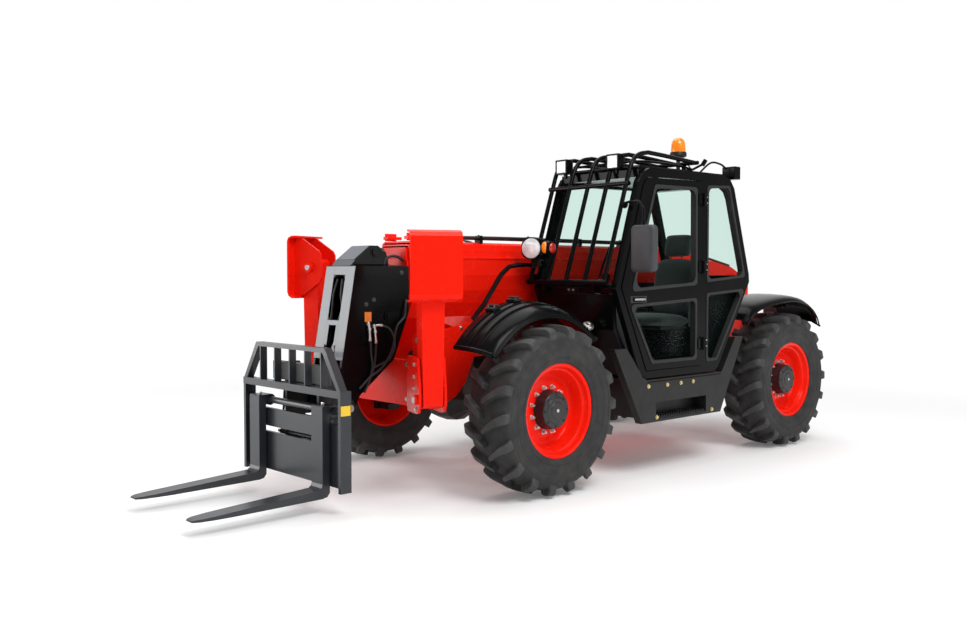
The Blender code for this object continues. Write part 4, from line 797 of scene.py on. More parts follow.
w_up = [(-0.690, 1.418), (-0.440, 2.165), (-0.405, 2.195), (0.070, 2.208), (0.092, 2.185), (0.098, 1.462)]
w_low = [(-0.705, 1.295), (0.098, 1.333), (0.098, 0.868), (-0.415, 0.868), (-0.475, 0.905)]
q_up = [(0.262, 2.235), (0.48, 2.247), (0.545, 2.215), (0.582, 2.155), (0.775, 1.560), (0.748, 1.512), (0.262, 1.482)]
q_low = [(0.262, 1.372), (0.752, 1.402), (0.765, 1.370), (0.405, 0.845), (0.262, 0.838)]
door_hole = [(-0.822, 1.435), (-0.575, 2.205), (-0.54, 2.25), (-0.49, 2.268), (0.165, 2.280), (0.165, 0.800), (-0.525, 0.800)]
sd = Piece("door_window_seals", "seal", "cab_door", "black_paint", bevel=0.0015)
w_up_s = [(-0.690, 1.418), (-0.425, 2.201), (0.094, 2.209), (0.098, 1.462)]
w_low_s = [(-0.705, 1.295), (0.098, 1.333), (0.098, 0.868), (-0.455, 0.868)]
for lp, ri in ((w_up, 0.0), (w_low, 0.0)):
    frame_strip(sd, lp, 0.0006, 0.006, 1.0776, 1.1285)
for lp, ri in ((w_up_s, 0.060), (w_low_s, 0.035)):
    corner_band(sd, lp, -0.014, 0.030, 0.010, ri, 1.1265, 1.1315)
sd.done()
sq = Piece("quarter_window_seals", "seal", "chassis", "black_paint", bevel=0.0015)
for lp in (q_up, q_low):
    frame_strip(sq, lp, 0.0006, 0.006, 1.0702, 1.1205)
q_up_s = [(0.262, 2.236), (0.560, 2.252), (0.790, 1.520), (0.262, 1.482)]
q_low_s = [(0.262, 1.372), (0.780, 1.402), (0.395, 0.845), (0.262, 0.838)]
for lp, ri in ((q_up_s, 0.050), (q_low_s, 0.035)):
    corner_band(sq, lp, -0.012, 0.026, 0.010, ri, 1.1203, 1.1245)
sq.done()
# door handle: recess plate, lever, lock barrel
dh = Piece("door_handle_lever", "steel", "cab_door", "chrome", bevel=0.002)
dh.box(P(1.1435, -0.690, 1.340), P(1.1485, -0.565, 1.3545))
dh.cyl(P(1.1265, -0.600, 1.346), P(1.1460, -0.600, 1.346), 0.010, 18)
dh.cyl(P(1.1265, -0.655, 1.346), P(1.1455, -0.655, 1.346), 0.008, 16)
dh.done()
dh2 = Piece("door_handle_plate", "plastic", "cab_door", "black_plastic", bevel=0.003)
dh2.box(P(1.1255, -0.720, 1.322), P(1.1315, -0.530, 1.372))
dh2.done()
hg = Piece("door_hinges", "black", "cab_door", "black_paint", bevel=0.0015, smooth=40)
hf = Piece("hinge_leaves", "black", "chassis", "black_paint", bevel=0.0015)
hb_ = Piece("hinge_screws", "steel", "chassis", "chrome", bevel=0.0006)
for z in (2.128, 1.592, 0.980):
    hg.cyl(P(1.140, 0.188, z - 0.052), P(1.140, 0.188, z - 0.016), 0.0145, 20)
    hg.cyl(P(1.140, 0.188, z + 0.016), P(1.140, 0.188, z + 0.052), 0.0145, 20)
    hf.cyl(P(1.140, 0.188, z - 0.0155), P(1.140, 0.188, z + 0.0155), 0.0148, 20)
    hf.box(P(1.1205, 0.196, z - 0.040), P(1.1305, 0.252, z + 0.040))
    for dz in (-0.024, 0.024):
        hb_.bolt(P(1.1305, 0.236, z + dz), (1, 0, 0), 0.0065, 0.006, False)
hg.done(); hf.done(); hb_.done()

# wiper on the windshield
wp = Piece("windshield_wiper", "black", "chassis", "black_paint", bevel=0.0008)


def on_ws(x, t, off=0.012):
    """point in front of the windshield, t from 0 (bottom) to 1 (top)."""
    y = -0.848 + 0.255 * t
    z = 1.437 + 0.821 * t
    return P(x, y - off * 0.955, z + off * 0.297)


wp.cyl(on_ws(0.93, 0.045, 0.003), on_ws(0.93, 0.045, 0.030), 0.017, 18)
wp.tube([on_ws(0.93, 0.045, 0.026), on_ws(0.945, 0.20, 0.024), on_ws(0.965, 0.36, 0.015)], 0.0055, 8)
wp.tube([on_ws(0.925, 0.10, 0.009), on_ws(0.965, 0.36, 0.009), on_ws(0.995, 0.60, 0.009)], 0.0065, 6)
wp.done()
nz = Piece("washer_nozzles", "steel", "chassis", "chrome", bevel=0.001)
for x in (0.66, 0.705):
    nz.cyl(P(x, -0.872, 1.412), P(x, -0.888, 1.418), 0.008, 12)
nz.done()
nz = Piece("grab_recess", "black", "chassis", "black_paint", bevel=0.003)
nz.box(P(0.61, -0.874, 1.395), P(0.755, -0.8635, 1.428))
nz.done()
gd = Piece("guard_bars", "black", "chassis", "black_paint", smooth=60)
for x in (0.270, 0.460, 0.650, 0.840, 1.030):
    gd.tube([P(x, -0.908, 1.475), P(x, -0.70, 2.088)] + bez([P(x, -0.662, 2.20), P(x, -0.598, 2.365), P(x, -0.515, 2.44), P(x, -0.40, 2.466)], 8)[0:] +
            [P(x, -0.20, 2.458), P(x, 0.22, 2.432)], 0.0172, 14)
for a, b_, r_ in (((0.240, -0.907, 1.475), (1.060, -0.907, 1.475), 0.019), ((0.240, -0.657, 2.215), (1.060, -0.657, 2.215), 0.0175),
                  ((0.245, 0.213, 2.4325), (1.055, 0.213, 2.4325), 0.0165), ((0.257, -0.604, 2.342), (1.043, -0.604, 2.342), 0.011)):
    gd.cyl(P(*a), P(*b_), r_, 18)
for lo, hi in (((0.40, 0.205, 2.3626), (0.43, 0.225, 2.43)), ((0.90, 0.205, 2.3626), (0.93, 0.225, 2.43)),
               ((0.40, -0.908, 1.40), (0.43, -0.8635, 1.475)), ((0.90, -0.908, 1.40), (0.93, -0.8635, 1.475))):
    gd.box(P(*lo), P(*hi))
gd.done(replaces=("windshield_guard",))
gb = Piece("guard_clamps", "black", "chassis", "black_paint", bevel=0.002)
for x in (0.270, 0.460, 0.650, 0.840, 1.030):
    gb.cyl(P(x - 0.013, -0.907, 1.475), P(x + 0.013, -0.907, 1.475), 0.0225, 16)
    gb.cyl(P(x - 0.011, -0.657, 2.215), P(x + 0.011, -0.657, 2.215), 0.0205, 16)
for x, dx in ((0.262, 0.03), (1.038, -0.03)):
    gb.box(P(min(x, x + dx), -0.905, 1.492), P(max(x, x + dx), -0.845, 1.535))
gb.done()

# ================================================================ mirrors
for s, sx, y0, y1, z0, z1 in (("left", 1, -0.890, -0.825, 1.550, 1.885), ("right", -1, -0.86, -0.80, 1.38, 1.70)):
    p = Piece(f"mirror_{s}_glass", "mirror", "chassis", "chrome", bevel=0.0)
    p.box(P(min(sx * 1.272, sx * 1.448), y1 + 0.0003, z0 + 0.018), P(max(sx * 1.272, sx * 1.448), y1 + 0.0025, z1 - 0.018))
    p.done()
    p = Piece(f"mirror_{s}_shell", "greyplastic", "chassis", "black_plastic", smooth=60)
    secs = []
    for k, (y, g) in enumerate(((y1, -0.002), (y1 - 0.02, 0.001), (y0 + 0.012, 0.0), (y0 + 0.004, -0.009), (y0 + 0.0005, -0.026))):
        cx, cz, hx, hz, rc = 1.360, (z0 + z1) / 2, 0.1005 + g, (z1 - z0) / 2 + g, 0.034
        pts = []
        for qx, qz, st0 in ((1, 1, 0), (-1, 1, 90), (-1, -1, 180), (1, -1, 270)):
            for m_ in range(5):
                t = rad(st0 + 90 * m_ / 4)
                pts.append(P(sx * (cx + qx * (hx - rc) + rc * math.cos(t)), y, cz + qz * (hz - rc) + rc * math.sin(t)))
        secs.append(pts)
    p.loft(secs)
    p.done(replaces=(f"mirror_{s}",))
p = Piece("mirror_left_arm", "black", "chassis", "black_paint", smooth=60)
p.tube(bez([P(1.053, -0.706, 2.045), P(1.10, -0.74, 2.062), P(1.27, -0.835, 2.062), P(1.325, -0.855, 2.04), P(1.355, -0.858, 1.99), P(1.355, -0.858, 1.88)], 8), 0.0098, 12)
p.cyl(P(1.355, -0.858, 1.872), P(1.355, -0.858, 1.905), 0.018, 16)
p.cyl(P(1.052, -0.700, 2.045), P(1.075, -0.722, 2.052), 0.022, 16)
p.done()
p = Piece("mirror_right_arm", "black", "chassis", "black_paint", smooth=60)
p.tube(bez([P(-1.05, -0.7206, 0.88), P(-1.05, -0.785, 0.88), P(-1.055, -0.808, 0.92), P(-1.08, -0.82, 1.15), P(-1.12, -0.825, 1.19), P(-1.33, -0.83, 1.27),
            P(-1.355, -0.83, 1.30), P(-1.355, -0.83, 1.40)], 8), 0.0118, 12)
p.done()

# ================================================================ seat, controls, floor
def cushion(name, secs, mat="fabric", replaces=(), bodyname="chassis"):
    p = Piece(name, mat, bodyname, "seat_fabric", smooth=80)
    p.loft(secs)
    o = p.done(replaces=replaces, subsurf=2)
    return o


def pad(name, c, hx, hl, hd, up, fwd, crown=0.35, ns=9, replaces=(), bolster=0.0):
    """Crowned cushion: c centre, hx half width (X), hl half length along up, hd half depth along fwd."""
    c, up, fwd = Vector(c), Vector(up).normalized(), Vector(fwd).normalized()
    secs = []
    n = 24
    for i in range(ns):
        t = -1 + 2 * i / (ns - 1)
        k = (1 - abs(t) ** 4.0) ** 0.5 if abs(t) < 0.999 else 0.0
        k = max(k, 0.30)
        row = []
        for j in range(n):
            a = 2 * pi * j / n
            ca_, sa_ = math.cos(a), math.sin(a)
            ex = math.copysign(abs(ca_) ** 0.45, ca_)
            ed = math.copysign(abs(sa_) ** 0.60, sa_)
            x = ex * hx * (0.93 + 0.07 * k)
            dd = ed * hd * k * (1 + crown * (1 - ex * ex) * (1 if ed > 0 else 0.2)) / (1 + crown)
            if bolster and ed > 0:
                dd += bolster * k * ex * ex * (1 - 0.0)
            row.append(c + Vector((x, 0, 0)) + up * (t * hl) + fwd * dd)
        secs.append(row)
    return cushion(name, secs, replaces=replaces)


bk_up = Vector((0, 0.175, 1.0)).normalized()
bk_fw = Vector((0, -1.0, 0.175)).normalized()
s1 = pad("seat_cushion", P(0.72, 0.09, 1.155), 0.215, 0.215, 0.062, (0, 1, -0.05), (0, 0.05, 1), replaces=("seat",), bolster=0.008)
s2 = pad("seat_back", P(0.72, 0.362, 1.425), 0.192, 0.245, 0.068, bk_up, bk_fw, bolster=0.014)
s3 = pad("seat_headrest", P(0.72, 0.415, 1.775), 0.128, 0.095, 0.046, bk_up, bk_fw)
p = Piece("seat_frame", "plastic", "chassis", "black_plastic", bevel=0.004)
p.box(P(0.54, -0.06, 1.0865), P(0.90, 0.30, 1.112))
for x in (0.665, 0.775):
    p.cyl(P(x, 0.372, 1.62), P(x, 0.418, 1.76), 0.006, 10)
p.box(P(0.52, 0.28, 1.10), P(0.545, 0.345, 1.22)); p.box(P(0.895, 0.28, 1.10), P(0.92, 0.345, 1.22))
p.box(P(0.475, 0.02, 1.275), P(0.525, 0.33, 1.312))
for i in range(7):
    z = 0.835 + i * 0.034
    p.box(P(0.56 - 0.004 * (i % 2), -0.050 - 0.006 * (i % 2), z), P(0.88 + 0.004 * (i % 2), 0.33, z + 0.022))
p.done()

ang = rad(38)
sw_c = P(0.72, -0.42, 1.345)
ax_d = Vector((0, math.sin(ang), math.cos(ang)))
e1 = Vector((1, 0, 0)); e2 = ax_d.cross(e1)
p = Piece("steering_wheel_rim", "plastic", "chassis", "black_plastic", bevel=0.001, smooth=60)
p.tube([sw_c + (e1 * math.cos(2 * pi * i / 48) + e2 * math.sin(2 * pi * i / 48)) * 0.185 for i in range(48)], 0.0138, 12, cyclic=True)
for t in (200, 340, 90):
    t = rad(t)
    q_ = sw_c + (e1 * math.cos(t) + e2 * math.sin(t)) * 0.183
    p.tube([q_, sw_c + (q_ - sw_c) * 0.5 - ax_d * 0.004, sw_c - ax_d * 0.004], 0.0088, 10)
p.lathe([(0.0, 0.016), (0.030, 0.014), (0.040, 0.004), (0.040, -0.018), (0.030, -0.034), (0.028, -0.30), (0.0, -0.30)], sw_c, ax_d, 28)
p.box(P(0.425, -0.595, 1.17), P(0.975, -0.584, 1.18))
p.prism([(-0.775 + YS, 1.13), (-0.565 + YS, 0.808), (-0.47 + YS, 0.808), (-0.60 + YS, 1.30), (-0.62 + YS, 1.33), (-0.785 + YS, 1.33)], 'X', 0.42, 0.98)
# column levers
p.tube([sw_c - ax_d * 0.06, sw_c - ax_d * 0.055 + Vector((0.13, 0.0, 0.012))], 0.006, 8)
p.tube([sw_c - ax_d * 0.06, sw_c - ax_d * 0.055 + Vector((-0.13, 0.0, 0.012))], 0.006, 8)
p.done(replaces=("steering_console",))
p = Piece("joystick", "plastic", "chassis", "black_plastic", bevel=0.003, smooth=60)
p.box(P(0.345, -0.13, 0.8065), P(0.46, 0.34, 1.24))
p.tube(bez([P(0.40, -0.04, 1.24), P(0.402, -0.055, 1.30), P(0.405, -0.075, 1.34)], 6), 0.008, 10)
p.lathe([(0.0, 0.075), (0.014, 0.072), (0.021, 0.058), (0.019, 0.035), (0.022, 0.012), (0.015, 0.0), (0.0, 0.0)], P(0.405, -0.075, 1.335), (0.0, -0.25, 1.0), 18)
p.lathe([(0.0, 0.022), (0.018, 0.020), (0.035, 0.008), (0.042, 0.0), (0.0, 0.0)], P(0.40, -0.04, 1.24), (0, 0, 1), 20)
p.done()
p = Piece("floor_mat", "hose", "chassis", "black_plastic", bevel=0.002)
for i in range(9):
    x = 0.50 + i * 0.056
    p.box(P(x - 0.020, -0.44, 0.8055), P(x + 0.020, -0.08, 0.811))
p.box(P(0.47, -0.46, 0.8052), P(0.97, -0.07, 0.808))
for x in (0.58, 0.84):
    p.box(P(x - 0.04, -0.60, 0.86), P(x + 0.04, -0.56, 0.872), rot=Matrix.Rotation(rad(-35), 3, 'X'))
p.done()

# ================================================================ nose details
nb = Piece("nose_bolts", "iron", "boom_inner", "chrome", bevel=0.0008, smooth=35)
for y, z in ((-2.428, 1.325), (-2.363, 1.356), (-2.235, 1.708), (-2.12, 1.545)):
    nb.bolt(P(0.180 if z < 1.6 else 0.106, y, z), (1, 0, 0), 0.0125, 0.010)
    nb.bolt(P(-0.180 if z < 1.6 else -0.106, y, z), (-1, 0, 0), 0.0125, 0.010)
nb.done()
nb = Piece("nose_pin_bosses", "black", "boom_inner", "black_paint", bevel=0.001, smooth=35)
for sx in (1, -1):
    nb.cyl(P(sx * 0.1795, -2.242, 1.24), P(sx * 0.193, -2.242, 1.24), 0.034, 28)
    nb.cyl(P(sx * 0.192, -2.242, 1.24), P(sx * 0.203, -2.242, 1.24), 0.020, 6)
    nb.cyl(P(sx * 0.1055, -2.300, 1.690), P(sx * 0.116, -2.300, 1.690), 0.044, 32)
    nb.cyl(P(sx * 0.1155, -2.300, 1.690), P(sx * 0.124, -2.300, 1.690), 0.030, 28)
    nb.cyl(P(sx * 0.186, -2.60, 0.62), P(sx * 0.189, -2.60, 0.62), 0.030, 24)
nb.done()
nb = Piece("blank_plate_nose", "plateo", "boom_inner", "black_paint")
nb.box(P(0.1802, -2.442, 1.205), P(0.1815, -2.385, 1.272))
nb.done()
nb = Piece("blank_plate_carriage", "platey", "carriage", "black_paint")
nb.box(P(0.6172, -2.938, 0.640), P(0.6184, -2.865, 0.703))
nb.done()

# couplings on the nose and the hoses down to the carriage
fx = Piece("hose_couplings", "steel", "boom_inner", "chrome", bevel=0.001, smooth=40)
for y, z in ((-2.424, 1.190), (-2.376, 1.172)):
    fx.cyl(P(0.180, y, z), P(0.206, y, z), 0.016, 6)
    fx.cyl(P(0.205, y, z + 0.008), P(0.205, y + 0.004, z - 0.030), 0.0105, 14)
    fx.cyl(P(0.205, y + 0.004, z - 0.028), P(0.206, y + 0.006, z - 0.046), 0.0145, 6)
    fx.cyl(P(0.206, y + 0.006, z - 0.046), P(0.206, y + 0.010, z - 0.100), 0.0095, 14)
    fx.cyl(P(0.206, y + 0.010, z - 0.098), P(0.206, y + 0.012, z - 0.118), 0.0125, 6)
fx.cyl(P(0.206, -2.366, 1.176), P(0.212, -2.330, 1.178), 0.010, 14)
fx.cyl(P(0.212, -2.332, 1.178), P(0.214, -2.314, 1.176), 0.0125, 6)
fx.done()
hs = Piece("nose_hoses", "hose", "boom_inner", "black_paint", smooth=70)
hs.tube(bez([P(0.206, -2.412, 1.078), P(0.206, -2.406, 0.98), P(0.208, -2.398, 0.895), P(0.204, -2.42, 0.80), P(0.1985, -2.46, 0.715)], 10), 0.0085, 10)
hs.tube(bez([P(0.206, -2.364, 1.056), P(0.206, -2.372, 0.96), P(0.208, -2.384, 0.89), P(0.200, -2.41, 0.81), P(0.1975, -2.455, 0.728)], 10), 0.0085, 10)
hs.tube(bez([P(0.214, -2.318, 1.176), P(0.222, -2.262, 1.155), P(0.226, -2.225, 1.095), P(0.226, -2.218, 1.02), P(0.222, -2.256, 0.942), P(0.214, -2.33, 0.905),
             P(0.210, -2.385, 0.886)], 10), 0.0075, 10)
# hose from the boom end, round the nose
hs.tube(bez([P(0.186, -2.085, 1.355), P(0.200, -2.100, 1.300), P(0.206, -2.118, 1.228), P(0.215, -2.190, 1.160), P(0.226, -2.238, 1.008), P(0.222, -2.320, 0.886),
             P(0.210, -2.42, 0.82), P(0.1985, -2.50, 0.745)], 10), 0.0085, 10)
for sx in (1, -1):
    hs.tube(bez([P(sx * 0.120, -2.060, 1.630), P(sx * 0.125, -2.11, 1.66), P(sx * 0.118, -2.17, 1.665), P(sx * 0.110, -2.21, 1.640), P(sx * 0.112, -2.22, 1.606)], 8), 0.010, 10)
hs.done()
# tilt lines inside the open front of the nose
hs = Piece("tilt_lines", "hose", "boom_inner", "black_paint", smooth=70)
for dx in (-0.028, 0.028):
    hs.tube(bez([P(dx, -2.52, 1.50), P(dx * 1.6, -2.545, 1.40), P(dx * 2.1, -2.548, 1.30), P(dx * 1.7, -2.575, 1.18), P(dx * 2.4, -2.604, 1.02)], 8), 0.0075, 10)
hs.done()

# ================================================================ nose front face: grey sheets painting the reflection on the black nose
fp = Piece("nose_front_reflection_sheets", "nose_reflection_grey", "boom_inner", "black_paint", bevel=0.0012)


def nose_strip(p, y0, z0, y1, z1, x0, x1, off=0.0012, th=0.0016):
    """Thin grey sheet on the sloping front of the nose between two heights; its grey is a painted reflection on the
    black gloss nose.
    """
    t_ = Vector((0, y1 - y0, z1 - z0)).normalized()
    nrm = Vector((0, -t_.z, t_.y)) if t_.z > 0 else Vector((0, t_.z, -t_.y))
    a = [P(x0, y0, z0), P(x1, y0, z0), P(x1, y1, z1), P(x0, y1, z1)]
    lo = [p.bm.verts.new(v + nrm * (off - th)) for v in a]
    hi = [p.bm.verts.new(v + nrm * off) for v in a]
    p.bm.faces.new(lo); p.bm.faces.new(list(reversed(hi)))
    for i in range(4):
        p.bm.faces.new((lo[i], hi[i], hi[(i + 1) % 4], lo[(i + 1) % 4]))


def front_y(z):
    return -2.513 + (-2.628 + 2.513) * (1.592 - z) / (1.592 - 0.94)


for x0, x1, z0, z1 in ((-0.178, -0.071, 0.945, 1.590), (0.071, 0.178, 0.945, 1.590), (-0.071, 0.071, 1.531, 1.590),
                       (-0.071, 0.071, 1.181, 1.214), (-0.071, -0.043, 1.043, 1.181), (0.043, 0.071, 1.043, 1.181)):
    if x1 - x0 > 0.1 and z0 < 1.0:
        pass
    nose_strip(fp, front_y(z0), z0, front_y(z1), z1, x0, x1)
nose_strip(fp, -2.475, 1.6375, -2.3455, 1.7365, -0.1045, 0.1045)
nose_strip(fp, -2.512, 1.594, -2.477, 1.6345, -0.117, 0.117)
fp.done()

# small red brackets, clamps and fittings where the boom sections end
eb = Piece("boom_end_brackets", "red", "boom", "body_red", bevel=0.002)
for sx in (1, -1):
    eb.box(P(min(sx * 0.10, sx * 0.150), -2.035, 1.790), P(max(sx * 0.10, sx * 0.150), -1.90, 1.812))
    eb.box(P(min(sx * 0.125, sx * 0.137), -2.032, 1.780), P(max(sx * 0.125, sx * 0.137), -1.93, 1.835))
    eb.box(P(min(sx * 0.2055, sx * 0.2155), -2.01, 1.56), P(max(sx * 0.2055, sx * 0.2155), -1.90, 1.64))
    eb.box(P(min(sx * 0.2055, sx * 0.2155), -2.01, 1.36 + 0.06), P(max(sx * 0.2055, sx * 0.2155), -1.90, 1.50))
eb.done()
ebb = Piece("boom_end_bolts", "steel", "boom", "chrome", bevel=0.0006)
for sx in (1, -1):
    for y in (-1.985, -1.925):
        for z in (1.60, 1.46):
            ebb.bolt(P(sx * 0.2155, y, z), (sx, 0, 0), 0.010, 0.009)
    for y in (-2.00, -1.96):
        ebb.bolt(P(sx * 0.137, y, 1.818), (sx, 0, 0), 0.0075, 0.008)
ebb.done()

# service pipe along the top of the boom
bp_ = Piece("boom_service_pipe", "hose", "boom", "black_paint", smooth=60)
bp_.tube(bez([P(0.150, -1.90, 1.792), P(0.150, -1.82, 1.806), P(0.150, -1.60, 1.8125), P(0.150, -0.9, 1.8185), P(0.150, 0.4, 1.8155)], 8), 0.0115, 12)
bp_.tube(bez([P(0.118, -1.90, 1.790), P(0.118, -1.82, 1.801), P(0.118, -1.60, 1.804), P(0.118, -0.9, 1.806), P(0.118, 0.4, 1.804)], 8), 0.0085, 10)
bp_.tube(bez([P(0.150, 0.4, 1.8155), P(0.150, 0.9, 1.815), P(0.148, 1.25, 1.765), P(0.15, 1.75, 1.672), P(0.165, 2.0, 1.62)], 8), 0.0115, 12)
bp_.done()
bc = Piece("boom_pipe_clamps", "black", "boom", "black_paint", bevel=0.0015)
for y, z in ((-1.70, 1.811), (-1.336, 1.8155), (-0.80, 1.8185), (-0.2, 1.817), (0.35, 1.8155)):
    bc.box(P(0.104, y - 0.016, 1.7715), P(0.166, y + 0.016, z - 0.004))
    bc.box(P(0.106, y - 0.013, z - 0.003), P(0.166, y + 0.013, z + 0.0155))
    bc.cyl(P(0.134, y, z + 0.015), P(0.134, y, z + 0.022), 0.007, 6)
bc.done()
# pressed seams and welded strips of the boom flanks
sm = Piece("boom_seams", "red", "boom", "body_red", bevel=0.001)
for sx in (1, -1):
    sm.box(P(min(sx * 0.2045, sx * 0.2075), -2.02, 1.523), P(max(sx * 0.2045, sx * 0.2075), 1.20, 1.529))
    sm.box(P(min(sx * 0.196, sx * 0.2125), -2.018, 1.650), P(max(sx * 0.196, sx * 0.2125), 0.70, 1.664))
sm.done()

# ================================================================ pins and bolts
def arm_frame(sx):
    """left arm frame: u outwards, v forwards."""
    ca_, sa_ = math.cos(rad(22)), math.sin(rad(22))

    def f(u, v, z):
        return P(sx * (0.69 + u * ca_ - v * sa_), -2.270 - u * sa_ - v * ca_, z)
    ud = Vector((sx * ca_, -sa_, 0))
    vd = Vector((-sx * sa_, -ca_, 0))
    return f, ud, vd


fb = Piece("bulkhead_bolts", "steel", "chassis", "chrome", bevel=0.0008, smooth=35)
ft = Piece("bulkhead_flange", "red", "chassis", "body_red", bevel=0.002)
for sx in (1, -1):
    f, ud, vd = arm_frame(sx)
    # pivot pins through the brackets
    fb.cyl(f(0, 0.117, 0.70), f(0, 0.124, 0.70), 0.022, 24)
    for z in (0.93, 0.85, 0.77, 0.68, 0.635):
        u = -0.055 if z > 0.66 else -0.01
        fb.bolt(f(u, 0.098, z), vd, 0.0115, 0.010)
        fb.bolt(f(u, -0.098, z), -vd, 0.0115, 0.010)
    for z in (0.655, 0.90):
        fb.bolt(P(sx * 0.5, -2.1685, z), (0, -1, 0), 0.012, 0.010)
        fb.bolt(P(sx * 0.30, -2.1685, z), (0, -1, 0), 0.012, 0.010)
    fb.cyl(P(sx * 0.475, -2.216, 1.08), P(sx * 0.475, -2.222, 1.08), 0.016, 20)
    fb.cyl(P(sx * 0.4005, -1.62, 1.145), P(sx * 0.412, -1.62, 1.145), 0.012, 6)
    for y, z in ((-2.095, 1.07), (-2.095, 0.90), (-2.095, 0.66), (-1.95, 1.10), (-1.75, 1.145), (1.15, 1.05), (1.95, 1.05), (1.95, 0.68), (1.22, 0.86)):
        fb.bolt(P(sx * 0.400, y, z), (sx, 0, 0), 0.012, 0.011)
    ft.box(P(min(sx * 0.400, sx * 0.408), -2.125, 0.63), P(max(sx * 0.400, sx * 0.408), -2.065, 1.09))
fb.done(); ft.done()

for s, sx in (("left", 1), ("right", -1)):
    f, ud, vd = arm_frame(sx)
    fp_ = Piece(f"foot_pin_{s}", "steel", f"stabilizer_{s}", "chrome", bevel=0.0015, smooth=35)
    k = 0.0
    for sg in (1, -1):
        a = f(0, sg * 0.060, 1.585)
        fp_.cyl(a, a + vd * sg * 0.070, 0.0205, 24)
    fp_.done()

pn = Piece("boom_pivot_caps", "steel", "chassis", "chrome", bevel=0.0015, smooth=35)
for sx in (1, -1):
    pn.cyl(P(sx * 0.299, 2.05, 1.42), P(sx * 0.306, 2.05, 1.42), 0.040, 32)
    for k in range(3):
        t = 2 * pi * k / 3 + 0.4
        pn.bolt(P(sx * 0.2755, 2.05 + 0.075 * math.cos(t), 1.42 + 0.075 * math.sin(t)), (sx, 0, 0), 0.009, 0.009)
    pn.cyl(P(sx * 0.1295, 1.75, 0.88), P(sx * 0.134, 1.75, 0.88), 0.022, 24)
pn.done()

# ================================================================ step
st_ = Piece("step_bolts", "brass", "chassis", "chrome", bevel=0.0008, smooth=35)
for y, z in ((-0.521, 0.687), (-0.289, 0.684), (-0.117, 0.686), (0.043, 0.686), (-0.418, 0.445), (0.30, 0.440)):
    st_.bolt(P(1.145, y, z), (1, 0, 0), 0.0125, 0.009)
st_.done()
tr_ = Piece("step_tread", "blacksat", "chassis", "black_paint", bevel=0.0008)
tr_.box(P(1.032, -0.420, 0.4318), P(1.140, 0.210, 0.4395))
for i in range(21):
    y = -0.405 + i * 0.030
    tr_.prism([(y - 0.011 + YS, 0.439), (y + 0.011 + YS, 0.439), (y + YS, 0.458)], 'X', 1.128, 1.136)
    tr_.prism([(y - 0.011 + YS, 0.439), (y + 0.011 + YS, 0.439), (y + YS, 0.458)], 'X', 1.085, 1.092)
    tr_.prism([(y - 0.011 + YS, 0.439), (y + 0.011 + YS, 0.439), (y + YS, 0.458)], 'X', 1.042, 1.049)
tr_.done()
sk = Piece("skirt_plate", "black", "chassis", "black_paint", bevel=0.0012)
sk.prism([(-0.532 + YS, 0.724), (0.428 + YS, 0.724), (0.414 + YS, 0.715), (-0.528 + YS, 0.715)], 'X', 1.145, 1.1485)
sk.done()

# ================================================================ coupler hydraulics
hy = Piece("coupler_hoses", "hose", "carriage", "black_paint", smooth=70)
for sx in (1, -1):
    hy.tube(bez([P(sx * 0.30, -2.772, 0.86), P(sx * 0.33, -2.76, 0.79), P(sx * 0.34, -2.77, 0.70), P(sx * 0.30, -2.80, 0.60), P(sx * 0.28, -2.83, 0.50)], 8), 0.0085, 10)
    hy.tube(bez([P(sx * 0.25, -2.772, 0.87), P(sx * 0.29, -2.752, 0.80), P(sx * 0.285, -2.77, 0.71), P(sx * 0.26, -2.80, 0.60), P(sx * 0.245, -2.83, 0.50)], 8), 0.0085, 10)
hy.tube(bez([P(0.33, -2.76, 0.705), P(0.20 + 0.20, -2.79, 0.72), P(0.46, -2.83, 0.70), P(0.52, -2.85, 0.69)], 8), 0.0085, 10)
hy.done()
hv = Piece("coupler_valve_block", "blacksat", "carriage", "black_paint", bevel=0.003)
hv.box(P(-0.345, -2.7895, 0.830), P(-0.235, -2.755, 0.905))
hv.box(P(0.235, -2.7895, 0.830), P(0.345, -2.755, 0.905))
hv.cyl(P(-0.30, -2.815, 0.43), P(0.30, -2.815, 0.43), 0.022, 24)
hv.done()
hf2 = Piece("coupler_fittings", "steel", "carriage", "chrome", bevel=0.0008, smooth=40)
for sx in (1, -1):
    for x in (0.25, 0.30):
        hf2.cyl(P(sx * x, -2.772, 0.835), P(sx * x, -2.772, 0.815), 0.011, 6)
        hf2.cyl(P(sx * x, -2.772, 0.86), P(sx * x, -2.772, 0.835), 0.008, 14)
    for x in (0.275,):
        hf2.cyl(P(sx * x, -2.755, 0.89), P(sx * x, -2.742, 0.89), 0.012, 6)
    hf2.cyl(P(sx * 0.234, -2.60, 0.62), P(sx * 0.239, -2.60, 0.62), 0.026, 24)
hf2.cyl(P(-0.295, -2.815, 0.43), P(-0.34, -2.815, 0.43), 0.012, 20)
hf2.cyl(P(0.295, -2.815, 0.43), P(0.34, -2.815, 0.43), 0.012, 20)
hf2.done()
# locking pins on top of the forks
for s, sx in (("left", 1), ("right", -1)):
    lp_ = Piece(f"fork_{s}_latch", "steel", f"fork_{s}", "chrome", bevel=0.001)
    lp_.cyl(P(sx * 0.40, -2.930, 0.692), P(sx * 0.40, -2.930, 0.705), 0.010, 16)
    lp_.tube([P(sx * 0.385, -2.930, 0.705), P(sx * 0.415, -2.930, 0.705)], 0.005, 8)
    lp_.done()

